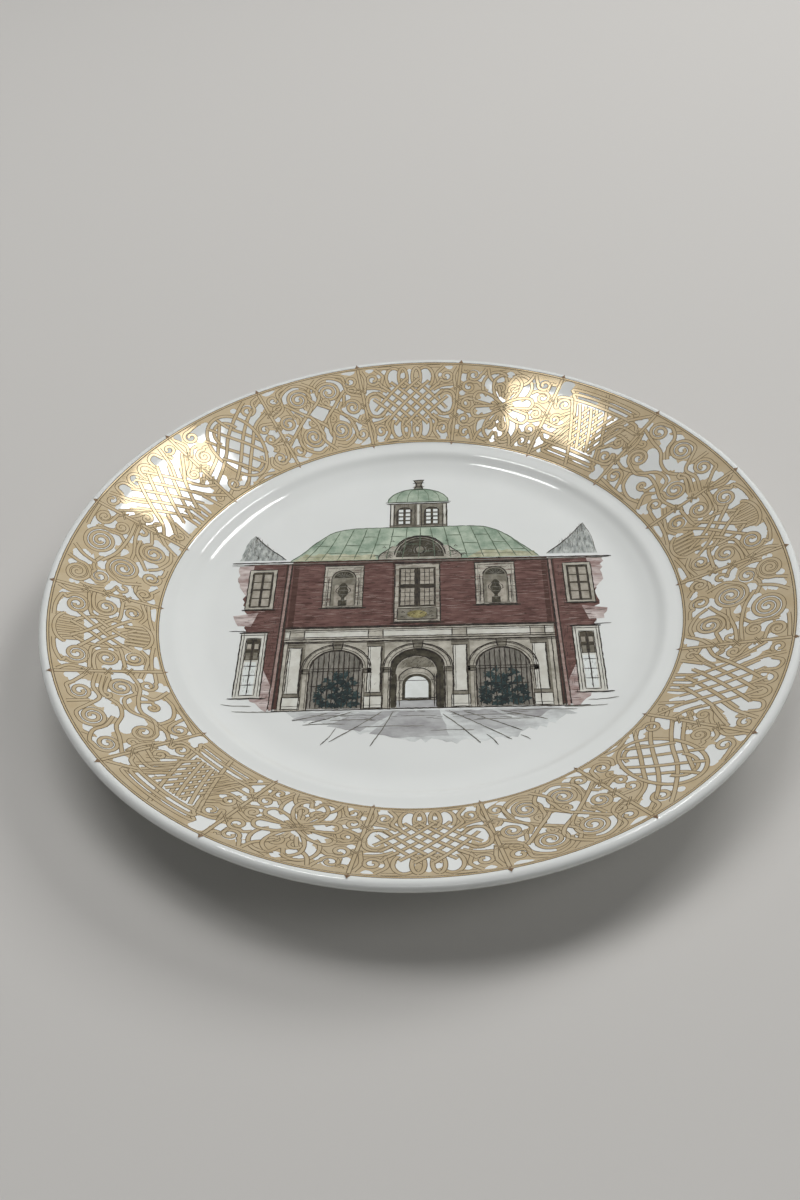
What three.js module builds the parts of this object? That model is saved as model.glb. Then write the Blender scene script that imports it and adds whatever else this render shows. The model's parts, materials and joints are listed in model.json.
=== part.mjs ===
// Souvenir plate: a glazed porcelain plate with a gilt border and a building printed in its well.
//
// Frame: millimetres, +Z up. The origin is the centre of the foot ring's bearing face, so the
// plate stands on the plane z = 0. +Y is the top of the printed picture, +X is its right.
//
// The porcelain body is one fired solid. Over it lie the coats that the maker adds one after
// another: the glaze, the gilt border and the colours of the printed picture.

import * as THREE from 'three';
import { mergeGeometries, mergeVertices } from 'three/addons/utils/BufferGeometryUtils.js';

// ---- Driving dimensions ---------------------------------------------------------------------

const PLATE_RADIUS = 130;
const WALL = 4;                        // thickness of the rim, glaze included
const LIP_RADIUS = WALL / 2;           // the edge is a half round
const RIM_SLOPE = THREE.MathUtils.degToRad(24.8);
const FLOOR_TOP = 7;                   // height of the picture's surface
const FLOOR_UNDERSIDE = 2.8;
const WELL_RADIUS = 77;                // edge of the flat floor
const SHOULDER_RADIUS = 92;            // where the sloping rim begins
const SHOULDER_TOP = 12;
const FOOT_OUTER_RADIUS = 77.6;
const FOOT_INNER_RADIUS = 74.5;
const BARE_FOOT = 0.5;                 // height of foot ring left without glaze
const FOOT_CHAMFER = 0.35;

const GLAZE = 0.25;                    // thickness of the glaze
const COAT_GAP = 0.03;                 // clearance between one coat and the next
const PRINT = 0.08;                    // thickness of gilding and enamel colours
const TILE_GAP = 0.3;                  // clearance between neighbouring printed fields

const PANEL_COUNT = 18;
const STEPS_PER_PANEL = 3;
const FIRST_DIVIDER = THREE.MathUtils.degToRad(11.8);
const BORDER_LINE = 0.9;               // width of the line along each edge of the border

const ROUND_STEPS = PANEL_COUNT * STEPS_PER_PANEL;
const PANEL_ANGLE = (2 * Math.PI) / PANEL_COUNT;

// ---- Materials ------------------------------------------------------------------------------

const material = (color, roughness, metalness = 0) =>
  new THREE.MeshStandardMaterial({ color, roughness, metalness });

const MATERIALS = {
  bisque: material('#efece4', 0.75),
  glaze: material('#eceeed', 0.08),
  gilt: material('#c2a878', 0.32, 0.85),
  brick: material('#7d4a4a', 0.25),
  copper: material('#a9c4ac', 0.25),
  slate: material('#8d9196', 0.25),
  stone: material('#c9c5b6', 0.25),
  umber: material('#5b5248', 0.25),
  foliage: material('#27464c', 0.25),
  pavement: material('#a9a8ad', 0.25),
};

const plate = new THREE.Group();

function addPart(name, geometry, finish) {
  const mesh = new THREE.Mesh(geometry, MATERIALS[finish].clone());
  mesh.name = name;
  plate.add(mesh);
}

// ---- Profiles: a point is (radius, height) --------------------------------------------------

const point = (radius, height) => new THREE.Vector2(radius, height);
const rimHeight = (radius) => SHOULDER_TOP + (radius - SHOULDER_RADIUS) * Math.tan(RIM_SLOPE);

// Unit normal of the rim's face in the profile plane: inwards and up.
const rimNormal = point(-Math.sin(RIM_SLOPE), Math.cos(RIM_SLOPE));

const lipRadius = PLATE_RADIUS - LIP_RADIUS;
const faceEdgeRadius = lipRadius + rimNormal.x * LIP_RADIUS;
const lipCentre = point(lipRadius, rimHeight(faceEdgeRadius) - rimNormal.y * LIP_RADIUS);

function lipPoint(degrees) {
  const angle = THREE.MathUtils.degToRad(degrees);
  return point(
    lipCentre.x + LIP_RADIUS * Math.cos(angle),
    lipCentre.y + LIP_RADIUS * Math.sin(angle),
  );
}

const slopeDegrees = THREE.MathUtils.radToDeg(RIM_SLOPE);
const lipAngles = [90 + slopeDegrees, 60, 0, slopeDegrees - 90];
const backRimRadius = SHOULDER_RADIUS + 1;
const backRimHeight = rimHeight(backRimRadius) - WALL / Math.cos(RIM_SLOPE);

// The glazed surface from the centre of the well, over the lip, to the outside of the foot ring.
const outerSurface = [
  point(0, FLOOR_TOP),
  point(WELL_RADIUS, FLOOR_TOP),
  point(81.5, 7.8),
  point(84.6, 9.75),
  point(87.2, 10.95),
  point(SHOULDER_RADIUS, SHOULDER_TOP),
  ...lipAngles.map(lipPoint),
  point(backRimRadius, backRimHeight),
  point(84, 4.7),
  point(FOOT_OUTER_RADIUS + 0.8, 2.5),
  point(FOOT_OUTER_RADIUS, BARE_FOOT),
];

// The glazed surface from the inside of the foot ring to the centre of the underside.
const innerSurface = [
  point(FOOT_INNER_RADIUS, BARE_FOOT),
  point(FOOT_INNER_RADIUS - 0.6, FLOOR_UNDERSIDE),
  point(0, FLOOR_UNDERSIDE),
];

// Moves an open profile sideways, to the right of its direction of travel.
function offsetProfile(profile, distance) {
  return profile.map((corner, index) => {
    const before = profile[Math.max(index - 1, 0)];
    const after = profile[Math.min(index + 1, profile.length - 1)];
    const normals = [];
    if (index > 0) normals.push(rightNormal(before, corner));
    if (index < profile.length - 1) normals.push(rightNormal(corner, after));
    const mitre = normals.reduce((sum, normal) => sum.add(normal), point(0, 0)).normalize();
    const reach = distance / mitre.dot(normals[0]);
    return point(Math.max(corner.x + mitre.x * reach, 0), corner.y + mitre.y * reach);
  });
}

function rightNormal(from, to) {
  const along = to.clone().sub(from).normalize();
  return point(along.y, -along.x);
}

// ---- Solids ---------------------------------------------------------------------------------

// Keeps only positions and joins shared corners, so the surface is one closed body.
function closed(geometry) {
  geometry.deleteAttribute('normal');
  geometry.deleteAttribute('uv');
  const merged = mergeVertices(geometry, 1e-4);
  removeEmptyTriangles(merged);
  merged.computeVertexNormals();
  return merged;
}

function removeEmptyTriangles(geometry) {
  const index = geometry.getIndex().array;
  const kept = [];
  for (let i = 0; i < index.length; i += 3) {
    const [a, b, c] = [index[i], index[i + 1], index[i + 2]];
    if (a !== b && b !== c && c !== a) kept.push(a, b, c);
  }
  geometry.setIndex(kept);
}

// A full turn of a closed profile, or of one that begins and ends on the axis. Angles are
// counted counter-clockwise from -Y, and a step always falls on a panel divider. A profile here
// runs outwards along its upper side, which is against LatheGeometry's own direction.
function turned(profile) {
  const lathe = new THREE.LatheGeometry([...profile].reverse(), ROUND_STEPS, FIRST_DIVIDER);
  return closed(lathe.rotateX(Math.PI / 2));
}

const loop = (profile) => [...profile, profile[0]];

function shell(surface) {
  const inside = offsetProfile(surface, GLAZE);
  const profile = [...surface, ...inside.reverse()];
  const touchesAxis = surface[0].x === 0 || surface.at(-1).x === 0;
  return touchesAxis ? onAxis(profile) : loop(profile);
}

// Rotates a profile's list of points so that it begins and ends at its two points on the axis.
function onAxis(profile) {
  const first = profile.findIndex((corner, index) => {
    const next = profile[(index + 1) % profile.length];
    return corner.x === 0 && next.x === 0;
  });
  return [...profile.slice(first + 1), ...profile.slice(0, first + 1)];
}

// A strip of gilding lying on the rim's face between two radii.
function rimStrip(inner, outer) {
  const lift = (radius, height) => point(
    radius + rimNormal.x * height,
    rimHeight(radius) + rimNormal.y * height,
  );
  return loop([
    lift(inner, COAT_GAP + PRINT),
    lift(outer, COAT_GAP + PRINT),
    lift(outer, COAT_GAP),
    lift(inner, COAT_GAP),
  ]);
}

// One sector of a turned strip, closed at both ends.
function sector(profile, start, angle) {
  const lathe = new THREE.LatheGeometry([...profile].reverse(), STEPS_PER_PANEL, start, angle);
  const outline = new THREE.Shape(profile.slice(0, -1));
  const ends = [start, start + angle].map((turn, index) => {
    const cap = new THREE.ShapeGeometry(outline);
    if (index === 1) reverseTriangles(cap);
    return cap.rotateY(turn - Math.PI / 2);
  });
  return closed(mergeGeometries([lathe, ...ends]).rotateX(Math.PI / 2));
}

function reverseTriangles(geometry) {
  const index = geometry.getIndex().array;
  for (let i = 0; i < index.length; i += 3) {
    [index[i + 1], index[i + 2]] = [index[i + 2], index[i + 1]];
  }
}

// ---- Body and glaze -------------------------------------------------------------------------

const bodyOffset = GLAZE + COAT_GAP;

function bisqueProfile() {
  const outside = offsetProfile(outerSurface, bodyOffset);
  const inside = offsetProfile(innerSurface, bodyOffset);
  const footOuter = point(outside.at(-1).x - FOOT_CHAMFER, 0);
  const footInner = point(inside[0].x + FOOT_CHAMFER, 0);
  return [...outside, footOuter, footInner, ...inside];
}

addPart('bisque_body', turned(bisqueProfile()), 'bisque');
addPart('glaze_coat', turned(shell(outerSurface)), 'glaze');
addPart('foot_recess_glaze', turned(shell(innerSurface)), 'glaze');

// ---- Gilt border ----------------------------------------------------------------------------

const giltInner = SHOULDER_RADIUS + 0.2;
const giltOuter = faceEdgeRadius - 0.1;

addPart('inner_gilt_line', turned(rimStrip(giltInner, giltInner + BORDER_LINE)), 'gilt');
addPart('outer_gilt_line', turned(rimStrip(giltOuter - BORDER_LINE, giltOuter)), 'gilt');

// Nine lace designs fill half the rim, and then the other half in the same order.
const LACE_DESIGNS = [
  'four_scrolls',
  'woven_oval',
  'diamond_trellis',
  'nine_spirals',
  'spiral_knot',
  'running_vine',
  'fretwork',
  'ringed_cross',
  'looped_trellis',
];

const panelProfile = rimStrip(
  giltInner + BORDER_LINE + TILE_GAP,
  giltOuter - BORDER_LINE - TILE_GAP,
);
const sideClearance = TILE_GAP / 2 / ((giltInner + giltOuter) / 2);

for (let panel = 0; panel < PANEL_COUNT; panel += 1) {
  const start = FIRST_DIVIDER + panel * PANEL_ANGLE + sideClearance;
  const number = String(panel + 1).padStart(2, '0');
  const design = LACE_DESIGNS[panel % LACE_DESIGNS.length];
  const tile = sector(panelProfile, start, PANEL_ANGLE - 2 * sideClearance);
  addPart(`gilt_panel_${number}_${design}`, tile, 'gilt');
}

// ---- Printed picture ------------------------------------------------------------------------
// A gatehouse seen square on, symmetric about x = 0. Each field of colour is one thin film.

const GROUND = -46.5;
const EAVES = 26.6;
const RIDGE = 45.3;
const FRONT_HALF_WIDTH = 47.3;
const WING_OUTER = 66;
const WING_FOOT = -40;
const ARCADE_TOP = -8.8;

function film(name, outline, finish, holes = []) {
  const shape = new THREE.Shape(outline);
  shape.holes = holes.map((hole) => new THREE.Path(hole));
  const solid = new THREE.ExtrudeGeometry(shape, { depth: PRINT, bevelEnabled: false });
  addPart(name, closed(solid.translate(0, 0, FLOOR_TOP + COAT_GAP)), finish);
}

function rectangle(left, bottom, right, top) {
  return [point(left, bottom), point(right, bottom), point(right, top), point(left, top)];
}

function arc(centreX, centreY, radiusX, radiusY, fromDegrees, toDegrees, steps) {
  const points = [];
  for (let step = 0; step <= steps; step += 1) {
    const degrees = fromDegrees + ((toDegrees - fromDegrees) * step) / steps;
    const angle = THREE.MathUtils.degToRad(degrees);
    points.push(point(centreX + radiusX * Math.cos(angle), centreY + radiusY * Math.sin(angle)));
  }
  return points;
}

// Outline of a round-headed opening that stands on the ground line.
function archway(centre, halfWidth, crown, grow = 0) {
  const radius = halfWidth + grow;
  const springing = crown - halfWidth;
  return [
    point(centre + radius, GROUND),
    ...arc(centre, springing, radius, radius, 0, 180, 8),
    point(centre - radius, GROUND),
  ];
}

const mirrored = (outline) => outline.map((corner) => point(-corner.x, corner.y)).reverse();

const ARCH_CROWN = -19.4;
const ARCH_HALF_WIDTH = 8.9;
const SIDE_ARCH = 28.4;
const arches = [SIDE_ARCH, 0, -SIDE_ARCH];

// Cupola: a drum with a dome on it.
const DRUM_HALF_WIDTH = 11;
const DOME_FOOT = 60;
film('cupola_print', [
  point(-DRUM_HALF_WIDTH, RIDGE + TILE_GAP),
  point(DRUM_HALF_WIDTH, RIDGE + TILE_GAP),
  ...arc(0, DOME_FOOT, 12, 9, 0, 180, 12),
], 'copper');

// Copper roof with swept ends, cut away behind the pediment.
const PEDIMENT_HALF_WIDTH = 14.8;
const PEDIMENT_RISE = 13.8;
const pedimentArc = (grow) => arc(
  0, EAVES, PEDIMENT_HALF_WIDTH + grow, PEDIMENT_RISE + grow, 0, 180, 10,
);
film('copper_roof_print', [
  ...pedimentArc(TILE_GAP).reverse(),
  ...arc(25, EAVES, 22, RIDGE - EAVES, 0, 90, 6),
  ...arc(-25, EAVES, 22, RIDGE - EAVES, 90, 180, 6),
], 'copper');
film('pediment_print', pedimentArc(0), 'umber');

// Steep slate roofs of the two wings.
const towerRoof = [point(48.5, EAVES + TILE_GAP), point(66.5, EAVES + TILE_GAP), point(62.5, 43.2)];
film('right_slate_roof_print', towerRoof, 'slate');
film('left_slate_roof_print', mirrored(towerRoof), 'slate');

// Brick front with its niches and the tall window, each in a stone frame.
const WINDOW = { half: 7.9, bottom: -6, top: 23.7 };
const NICHE = { centre: 27.9, half: 7.1, bottom: 1.9, top: 23.8 };

const opening = (centre, size, grow) => rectangle(
  centre - size.half - grow, size.bottom - grow, centre + size.half + grow, size.top + grow,
);
film(
  'brick_front_print',
  rectangle(-FRONT_HALF_WIDTH, ARCADE_TOP + TILE_GAP, FRONT_HALF_WIDTH, EAVES - TILE_GAP),
  'brick',
  [
    opening(0, WINDOW, TILE_GAP),
    opening(-NICHE.centre, NICHE, TILE_GAP),
    opening(NICHE.centre, NICHE, TILE_GAP),
  ],
);
film('tall_window_print', opening(0, WINDOW, 0), 'stone');
film('left_niche_print', opening(-NICHE.centre, NICHE, 0), 'stone');
film('right_niche_print', opening(NICHE.centre, NICHE, 0), 'stone');

// Brick wings beyond the rain pipes.
const rightWing = rectangle(
  FRONT_HALF_WIDTH + 1.4, WING_FOOT, WING_OUTER, EAVES - TILE_GAP,
);
film('right_wing_print', rightWing, 'brick');
film('left_wing_print', mirrored(rightWing), 'brick');

// Stone arcade: one outline with the three archways cut into its lower edge.
film('stone_arcade_print', [
  point(FRONT_HALF_WIDTH, GROUND),
  point(FRONT_HALF_WIDTH, ARCADE_TOP),
  point(-FRONT_HALF_WIDTH, ARCADE_TOP),
  point(-FRONT_HALF_WIDTH, GROUND),
  ...[...arches].reverse().flatMap((centre) => (
    archway(centre, ARCH_HALF_WIDTH, ARCH_CROWN, TILE_GAP).reverse()
  )),
], 'stone');
film('passage_print', archway(0, ARCH_HALF_WIDTH, ARCH_CROWN), 'umber');
film('right_foliage_print', archway(SIDE_ARCH, ARCH_HALF_WIDTH, ARCH_CROWN), 'foliage');
film('left_foliage_print', archway(-SIDE_ARCH, ARCH_HALF_WIDTH, ARCH_CROWN), 'foliage');

// Forecourt: paving that fans out towards the viewer.
film('pavement_print', [
  point(-48, GROUND - TILE_GAP),
  point(-30, -62),
  point(30, -62),
  point(54, GROUND - TILE_GAP),
], 'pavement');

export default plate;
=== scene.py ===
"""Souvenir plate: a glazed porcelain plate with a gilt lace border and a printed gatehouse."""
import json
import math
import random

import bpy
import numpy as np
from mathutils import Matrix, Vector
from mathutils.geometry import delaunay_2d_cdt

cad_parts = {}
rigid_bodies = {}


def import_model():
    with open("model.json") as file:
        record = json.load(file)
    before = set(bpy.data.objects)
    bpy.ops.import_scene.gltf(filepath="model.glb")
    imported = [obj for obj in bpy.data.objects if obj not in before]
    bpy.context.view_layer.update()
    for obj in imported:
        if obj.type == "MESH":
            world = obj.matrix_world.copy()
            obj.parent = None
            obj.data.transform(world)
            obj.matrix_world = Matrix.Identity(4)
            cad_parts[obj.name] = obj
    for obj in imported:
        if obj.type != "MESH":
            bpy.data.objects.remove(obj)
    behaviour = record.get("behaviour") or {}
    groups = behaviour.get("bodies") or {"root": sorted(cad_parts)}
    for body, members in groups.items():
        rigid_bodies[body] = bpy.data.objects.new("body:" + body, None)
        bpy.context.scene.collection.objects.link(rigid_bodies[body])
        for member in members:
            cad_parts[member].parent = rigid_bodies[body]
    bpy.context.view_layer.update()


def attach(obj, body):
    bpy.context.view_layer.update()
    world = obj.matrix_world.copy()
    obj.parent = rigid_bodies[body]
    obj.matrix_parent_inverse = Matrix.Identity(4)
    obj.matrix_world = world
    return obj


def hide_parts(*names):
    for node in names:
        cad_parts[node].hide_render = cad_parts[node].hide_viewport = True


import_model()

# Sizes are in millimetres in the row frame: origin at the centre of the foot ring's bearing face,
# +Z up, +Y towards the top of the picture. MM turns them into Blender's metres.
MM = 0.001


# ---- Camera ----------------------------------------------------------------------------------

# The focal length is against the long side of the image; the camera's place and the point that it
# looks at are in millimetres.
IMAGE_LONG_SIDE = 1200
SENSOR = 36
FOCAL_LENGTH_PIXELS = 1178.5
CAMERA_PLACE = (12.2, -304.2, 301.6)
CAMERA_TARGET = (-6.6, -1.5, 12.0)
CAMERA_ROLL = math.radians(-3.85)


def add_camera():
    """Looks down on the plate from in front and above, rolled a little."""
    data = bpy.data.cameras.new("camera")
    data.sensor_width = SENSOR
    data.lens = FOCAL_LENGTH_PIXELS / IMAGE_LONG_SIDE * SENSOR
    camera = bpy.data.objects.new("camera", data)
    bpy.context.scene.collection.objects.link(camera)
    place = Vector(CAMERA_PLACE) * MM
    aim = Vector(CAMERA_TARGET) * MM - place
    turn = aim.to_track_quat("-Z", "Y").to_matrix() @ Matrix.Rotation(CAMERA_ROLL, 3, "Z")
    camera.matrix_world = Matrix.Translation(place) @ turn.to_4x4()
    bpy.context.scene.camera = camera


# ---- Plate profile ---------------------------------------------------------------------------

PLATE_RADIUS = 130.0
WALL = 4.0
LIP_RADIUS = WALL / 2
RIM_SLOPE = math.radians(24.8)
FLOOR_TOP = 7.0
FLOOR_UNDERSIDE = 2.8
SHOULDER_RADIUS = 92.0
FOOT_OUTER_RADIUS = 77.6
FOOT_INNER_RADIUS = 74.5
BARE_FOOT = 0.5
GLAZE = 0.25
COAT_GAP = 0.03

# Pulls and ends of the curves on the back, as radius and height: from the rim's underside to the
# foot ring, down the ring's outside, and up its inside to the underside of the well.
BACK_TURN = [(87, 5.2), (82, 4.4), (78.9, 3.3)]
FOOT_OUTSIDE = [(77.9, 2.8), (77.7, 2.2), (FOOT_OUTER_RADIUS, BARE_FOOT)]
FOOT_INSIDE = [(74.3, 2.2), (73.6, 2.8), (72, FLOOR_UNDERSIDE)]

# Slope of the face in degrees at a few radii: flat floor, a rolled step, the flatter shoulder.
FACE_SLOPES = [(0, 0), (73, 0), (82.5, 20), (85.4, 34), (88.4, 8), (90.8, 8), (92.2, 24.8)]
RADIUS_STEP = 0.05


def slope_table():
    """Height of the face at every RADIUS_STEP, from the easing between the stated slopes."""
    radii = np.arange(0, PLATE_RADIUS, RADIUS_STEP)
    degrees = np.full(len(radii), float(FACE_SLOPES[-1][1]))
    for (start, low), (end, high) in zip(FACE_SLOPES, FACE_SLOPES[1:]):
        part = (radii >= start) & (radii < end)
        t = (radii[part] - start) / (end - start)
        degrees[part] = low + (high - low) * t * t * (3 - 2 * t)
    rise = np.tan(np.radians(degrees)) * RADIUS_STEP
    heights = FLOOR_TOP + np.concatenate([[0], np.cumsum((rise[1:] + rise[:-1]) / 2)])
    return radii, heights


FACE_RADII, FACE_HEIGHTS = slope_table()


def face_height(radius):
    return np.interp(radius, FACE_RADII, FACE_HEIGHTS)


RIM_NORMAL = Vector((-math.sin(RIM_SLOPE), math.cos(RIM_SLOPE)))
LIP_CENTRE_RADIUS = PLATE_RADIUS - LIP_RADIUS
FACE_EDGE = LIP_CENTRE_RADIUS + RIM_NORMAL.x * LIP_RADIUS
LIP_CENTRE_HEIGHT = float(face_height(FACE_EDGE)) - RIM_NORMAL.y * LIP_RADIUS


def bezier(start, pull_a, pull_b, end, steps):
    points = []
    for t in np.linspace(0, 1, steps + 1):
        a, b, c, d = (1 - t) ** 3, 3 * t * (1 - t) ** 2, 3 * t * t * (1 - t), t ** 3
        points.append(tuple(
            a * p + b * q + c * r + d * s for p, q, r, s in zip(start, pull_a, pull_b, end)
        ))
    return points


def outer_surface():
    """Glazed surface from the middle of the well over the lip to the outside of the foot ring."""
    radii = [0, 30, 60, *np.arange(72, SHOULDER_RADIUS + 1, 0.5), 104, 116]
    points = [(r, float(face_height(r))) for r in radii]
    for degrees in np.linspace(90 + math.degrees(RIM_SLOPE), math.degrees(RIM_SLOPE) - 90, 19):
        angle = math.radians(degrees)
        points.append((
            LIP_CENTRE_RADIUS + LIP_RADIUS * math.cos(angle),
            LIP_CENTRE_HEIGHT + LIP_RADIUS * math.sin(angle),
        ))
    back = SHOULDER_RADIUS + 1
    back_height = float(face_height(back)) - WALL / math.cos(RIM_SLOPE)
    points += [(110, back_height + (110 - back) * math.tan(RIM_SLOPE)), (back, back_height)]
    points += bezier((back, back_height), *BACK_TURN, 10)[1:]
    points += bezier(BACK_TURN[-1], *FOOT_OUTSIDE, 8)[1:]
    return points


def inner_surface():
    """Glazed surface from the inside of the foot ring to the middle of the underside."""
    points = bezier((FOOT_INNER_RADIUS, BARE_FOOT), *FOOT_INSIDE, 10)
    return [*points, (40, FLOOR_UNDERSIDE), (0, FLOOR_UNDERSIDE)]


def offset_profile(profile, distance):
    """Moves an open profile to the right of its direction of travel."""
    line = np.array(profile, float)
    along = np.diff(line, axis=0)
    along /= np.linalg.norm(along, axis=1)[:, None]
    normals = np.column_stack([along[:, 1], -along[:, 0]])
    before = np.vstack([normals[:1], normals])
    after = np.vstack([normals, normals[-1:]])
    mitre = before + after
    mitre /= np.linalg.norm(mitre, axis=1)[:, None]
    reach = distance / np.sum(mitre * before, axis=1)
    moved = line + mitre * reach[:, None]
    moved[:, 0] = np.maximum(moved[:, 0], 0)
    return [tuple(corner) for corner in moved]


# ---- Making pieces ---------------------------------------------------------------------------

def add_piece(name, vertices, faces, materials, node, indices=None, smooth=True):
    """Adds a mesh given in millimetres, which stands for the CAD node if one is named."""
    mesh = bpy.data.meshes.new(name)
    mesh.from_pydata([tuple(c * MM for c in v) for v in vertices], [], faces)
    for item in materials:
        mesh.materials.append(item)
    if indices is not None:
        mesh.polygons.foreach_set("material_index", indices)
    mesh.polygons.foreach_set("use_smooth", [smooth] * len(mesh.polygons))
    mesh.update()
    piece = bpy.data.objects.new(name, mesh)
    bpy.context.scene.collection.objects.link(piece)
    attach(piece, "root")
    if node:
        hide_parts(node)
    return piece


ROUND_STEPS = 288


def turned(profile, closed):
    """Vertices and faces of a full turn of a profile; its points on the axis become one each."""
    rings, vertices, faces = [], [], []
    for radius, height in profile:
        if radius < 1e-6:
            rings.append([len(vertices)] * ROUND_STEPS)
            vertices.append((0, 0, height))
            continue
        rings.append(list(range(len(vertices), len(vertices) + ROUND_STEPS)))
        for step in range(ROUND_STEPS):
            angle = 2 * math.pi * step / ROUND_STEPS
            vertices.append((radius * math.cos(angle), radius * math.sin(angle), height))
    pairs = list(zip(rings, rings[1:]))
    if closed:
        pairs.append((rings[-1], rings[0]))
    for first, second in pairs:
        for step in range(ROUND_STEPS):
            after = (step + 1) % ROUND_STEPS
            corners = [first[step], second[step], second[after], first[after]]
            face = list(dict.fromkeys(corners))
            if len(face) > 2:
                faces.append(face)
    return vertices, faces


def bar_faces(start, count, rows):
    """Faces of a closed bar: rows lines of count points each along it, and its two ends."""
    faces = []
    for row in range(rows):
        a, b = start + row * count, start + (row + 1) % rows * count
        faces += [(a + i, a + i + 1, b + i + 1, b + i) for i in range(count - 1)]
    faces.append(tuple(start + row * count for row in range(rows)))
    faces.append(tuple(start + row * count + count - 1 for row in reversed(range(rows))))
    return faces


def film_faces(start, count, triangles):
    """Faces of a film: its top, the same triangles count points further on below, and its sides."""
    faces = []
    for a, b, c in triangles:
        faces.append((start + a, start + b, start + c))
        faces.append((start + count + c, start + count + b, start + count + a))
    edges = {(tri[k], tri[(k + 1) % 3]) for tri in triangles for k in range(3)}
    for a, b in sorted(edge for edge in edges if edge[::-1] not in edges):
        faces.append((start + b, start + a, start + count + a, start + count + b))
    return faces


def counter_clockwise(loop):
    doubled_area = sum(a[0] * b[1] - b[0] * a[1] for a, b in zip(loop, loop[1:] + loop[:1]))
    return loop if doubled_area > 0 else loop[::-1]


def cut_sheet(border, holes, inner_points):
    """Corners and triangles of a flat sheet inside a border, without its holes."""
    corners, loops = [], []
    for loop in (border, *holes):
        loops.append(list(range(len(corners), len(corners) + len(loop))))
        corners += [Vector(corner) for corner in counter_clockwise(list(loop))]
    corners += [Vector(point) for point in inner_points]
    points, _, triangles, _, _, owners = delaunay_2d_cdt(corners, [], loops, 1, 1e-4)
    kept = [tri for tri, owner in zip(triangles, owners) if list(owner) == [0]]
    used = sorted({corner for tri in kept for corner in tri})
    number = {corner: place for place, corner in enumerate(used)}
    flat = np.array([tuple(points[corner]) for corner in used])
    return flat, [tuple(number[corner] for corner in tri) for tri in kept]


# ---- Materials -------------------------------------------------------------------------------

def new_material(name, color, roughness, metallic=0.0, ior=1.5):
    item = bpy.data.materials.new(name)
    item.use_nodes = True
    shader = item.node_tree.nodes["Principled BSDF"]
    shader.inputs["Base Color"].default_value = (*color, 1)
    shader.inputs["Roughness"].default_value = roughness
    shader.inputs["Metallic"].default_value = metallic
    shader.inputs["IOR"].default_value = ior
    return item


def blend_tones(item, vector, scale, detail, coarseness, dark, light, spread):
    """Colours a finish by a noise that runs from dark to light over the middle part of its range."""
    nodes, links = item.node_tree.nodes, item.node_tree.links
    noise = nodes.new("ShaderNodeTexNoise")
    noise.inputs["Scale"].default_value = scale
    noise.inputs["Detail"].default_value = detail
    noise.inputs["Roughness"].default_value = coarseness
    links.new(vector, noise.inputs["Vector"])
    ramp = nodes.new("ShaderNodeValToRGB")
    first, last = ramp.color_ramp.elements
    first.position, last.position = 0.5 - spread, 0.5 + spread
    first.color, last.color = (*dark, 1), (*light, 1)
    links.new(noise.outputs["Fac"], ramp.inputs["Fac"])
    links.new(ramp.outputs["Color"], nodes["Principled BSDF"].inputs["Base Color"])
    return noise


def add_clouds(item, dark, light, size, roughness):
    """Varies the colour and roughness of a finish in soft clouds, size millimetres across."""
    nodes, links = item.node_tree.nodes, item.node_tree.links
    place = nodes.new("ShaderNodeTexCoord").outputs["Object"]
    clouds = blend_tones(item, place, 1 / (size * MM), 3, 0.5, dark, light, 0.15)
    spread = nodes.new("ShaderNodeMapRange")
    spread.inputs["To Min"].default_value, spread.inputs["To Max"].default_value = roughness
    links.new(clouds.outputs["Fac"], spread.inputs["Value"])
    links.new(spread.outputs["Result"], nodes["Principled BSDF"].inputs["Roughness"])


glaze_material = new_material("porcelain_glaze", (0.80, 0.82, 0.80), 0.05, ior=1.56)
add_clouds(glaze_material, (0.788, 0.808, 0.788), (0.812, 0.832, 0.812), 30, (0.04, 0.06))
bisque_material = new_material("fired_porcelain", (0.80, 0.77, 0.70), 0.75)
add_clouds(bisque_material, (0.74, 0.70, 0.62), (0.83, 0.80, 0.74), 3, (0.7, 0.82))
gold_material = new_material("satin_gold", (0.85, 0.70, 0.475), 0.05, metallic=1.0)
add_clouds(gold_material, (0.81, 0.65, 0.415), (0.88, 0.73, 0.50), 7, (0.035, 0.07))
outline_material = new_material("gold_outline", (0.34, 0.255, 0.15), 0.15, metallic=1.0)
add_clouds(outline_material, (0.28, 0.21, 0.115), (0.38, 0.29, 0.175), 1.2, (0.12, 0.2))
stud_material = new_material("dark_gold", (0.36, 0.25, 0.16), 0.35, metallic=1.0)
add_clouds(stud_material, (0.30, 0.19, 0.11), (0.42, 0.30, 0.20), 1.0, (0.3, 0.42))


# ---- Body and glaze --------------------------------------------------------------------------

def add_body():
    """The porcelain under the glaze, with the bare edge that the plate stands on."""
    offset = GLAZE + COAT_GAP
    outside = offset_profile(outer_surface(), offset)
    inside = offset_profile(inner_surface(), offset)
    foot_outer, foot_inner = outside[-1][0], inside[0][0]
    bearing = [(foot_outer - 0.35, 0), (foot_inner + 0.35, 0)]
    vertices, faces = turned([*outside, *bearing, *inside], closed=False)
    add_piece("body", vertices, faces, [bisque_material], "bisque_body")


def add_glaze(name, surface, node):
    """A coat of glaze: the surface and its copy GLAZE below it, joined at their rims."""
    inside = offset_profile(surface, GLAZE)
    if surface[0][0] == 0:
        profile = [*surface, *inside[::-1]]
    else:
        profile = [*inside[::-1], *surface]
    vertices, faces = turned(profile, closed=False)
    add_piece(name, vertices, faces, [glaze_material], node)


# ---- Lace designs ----------------------------------------------------------------------------

# A panel is drawn in degrees round the plate from its middle: x counter-clockwise, y outwards.
HALF_PANEL = 10.0
HALF_BAND = 9.15
SPIRAL_EYE = 0.42
SPIRAL_PITCH = 1.06


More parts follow.
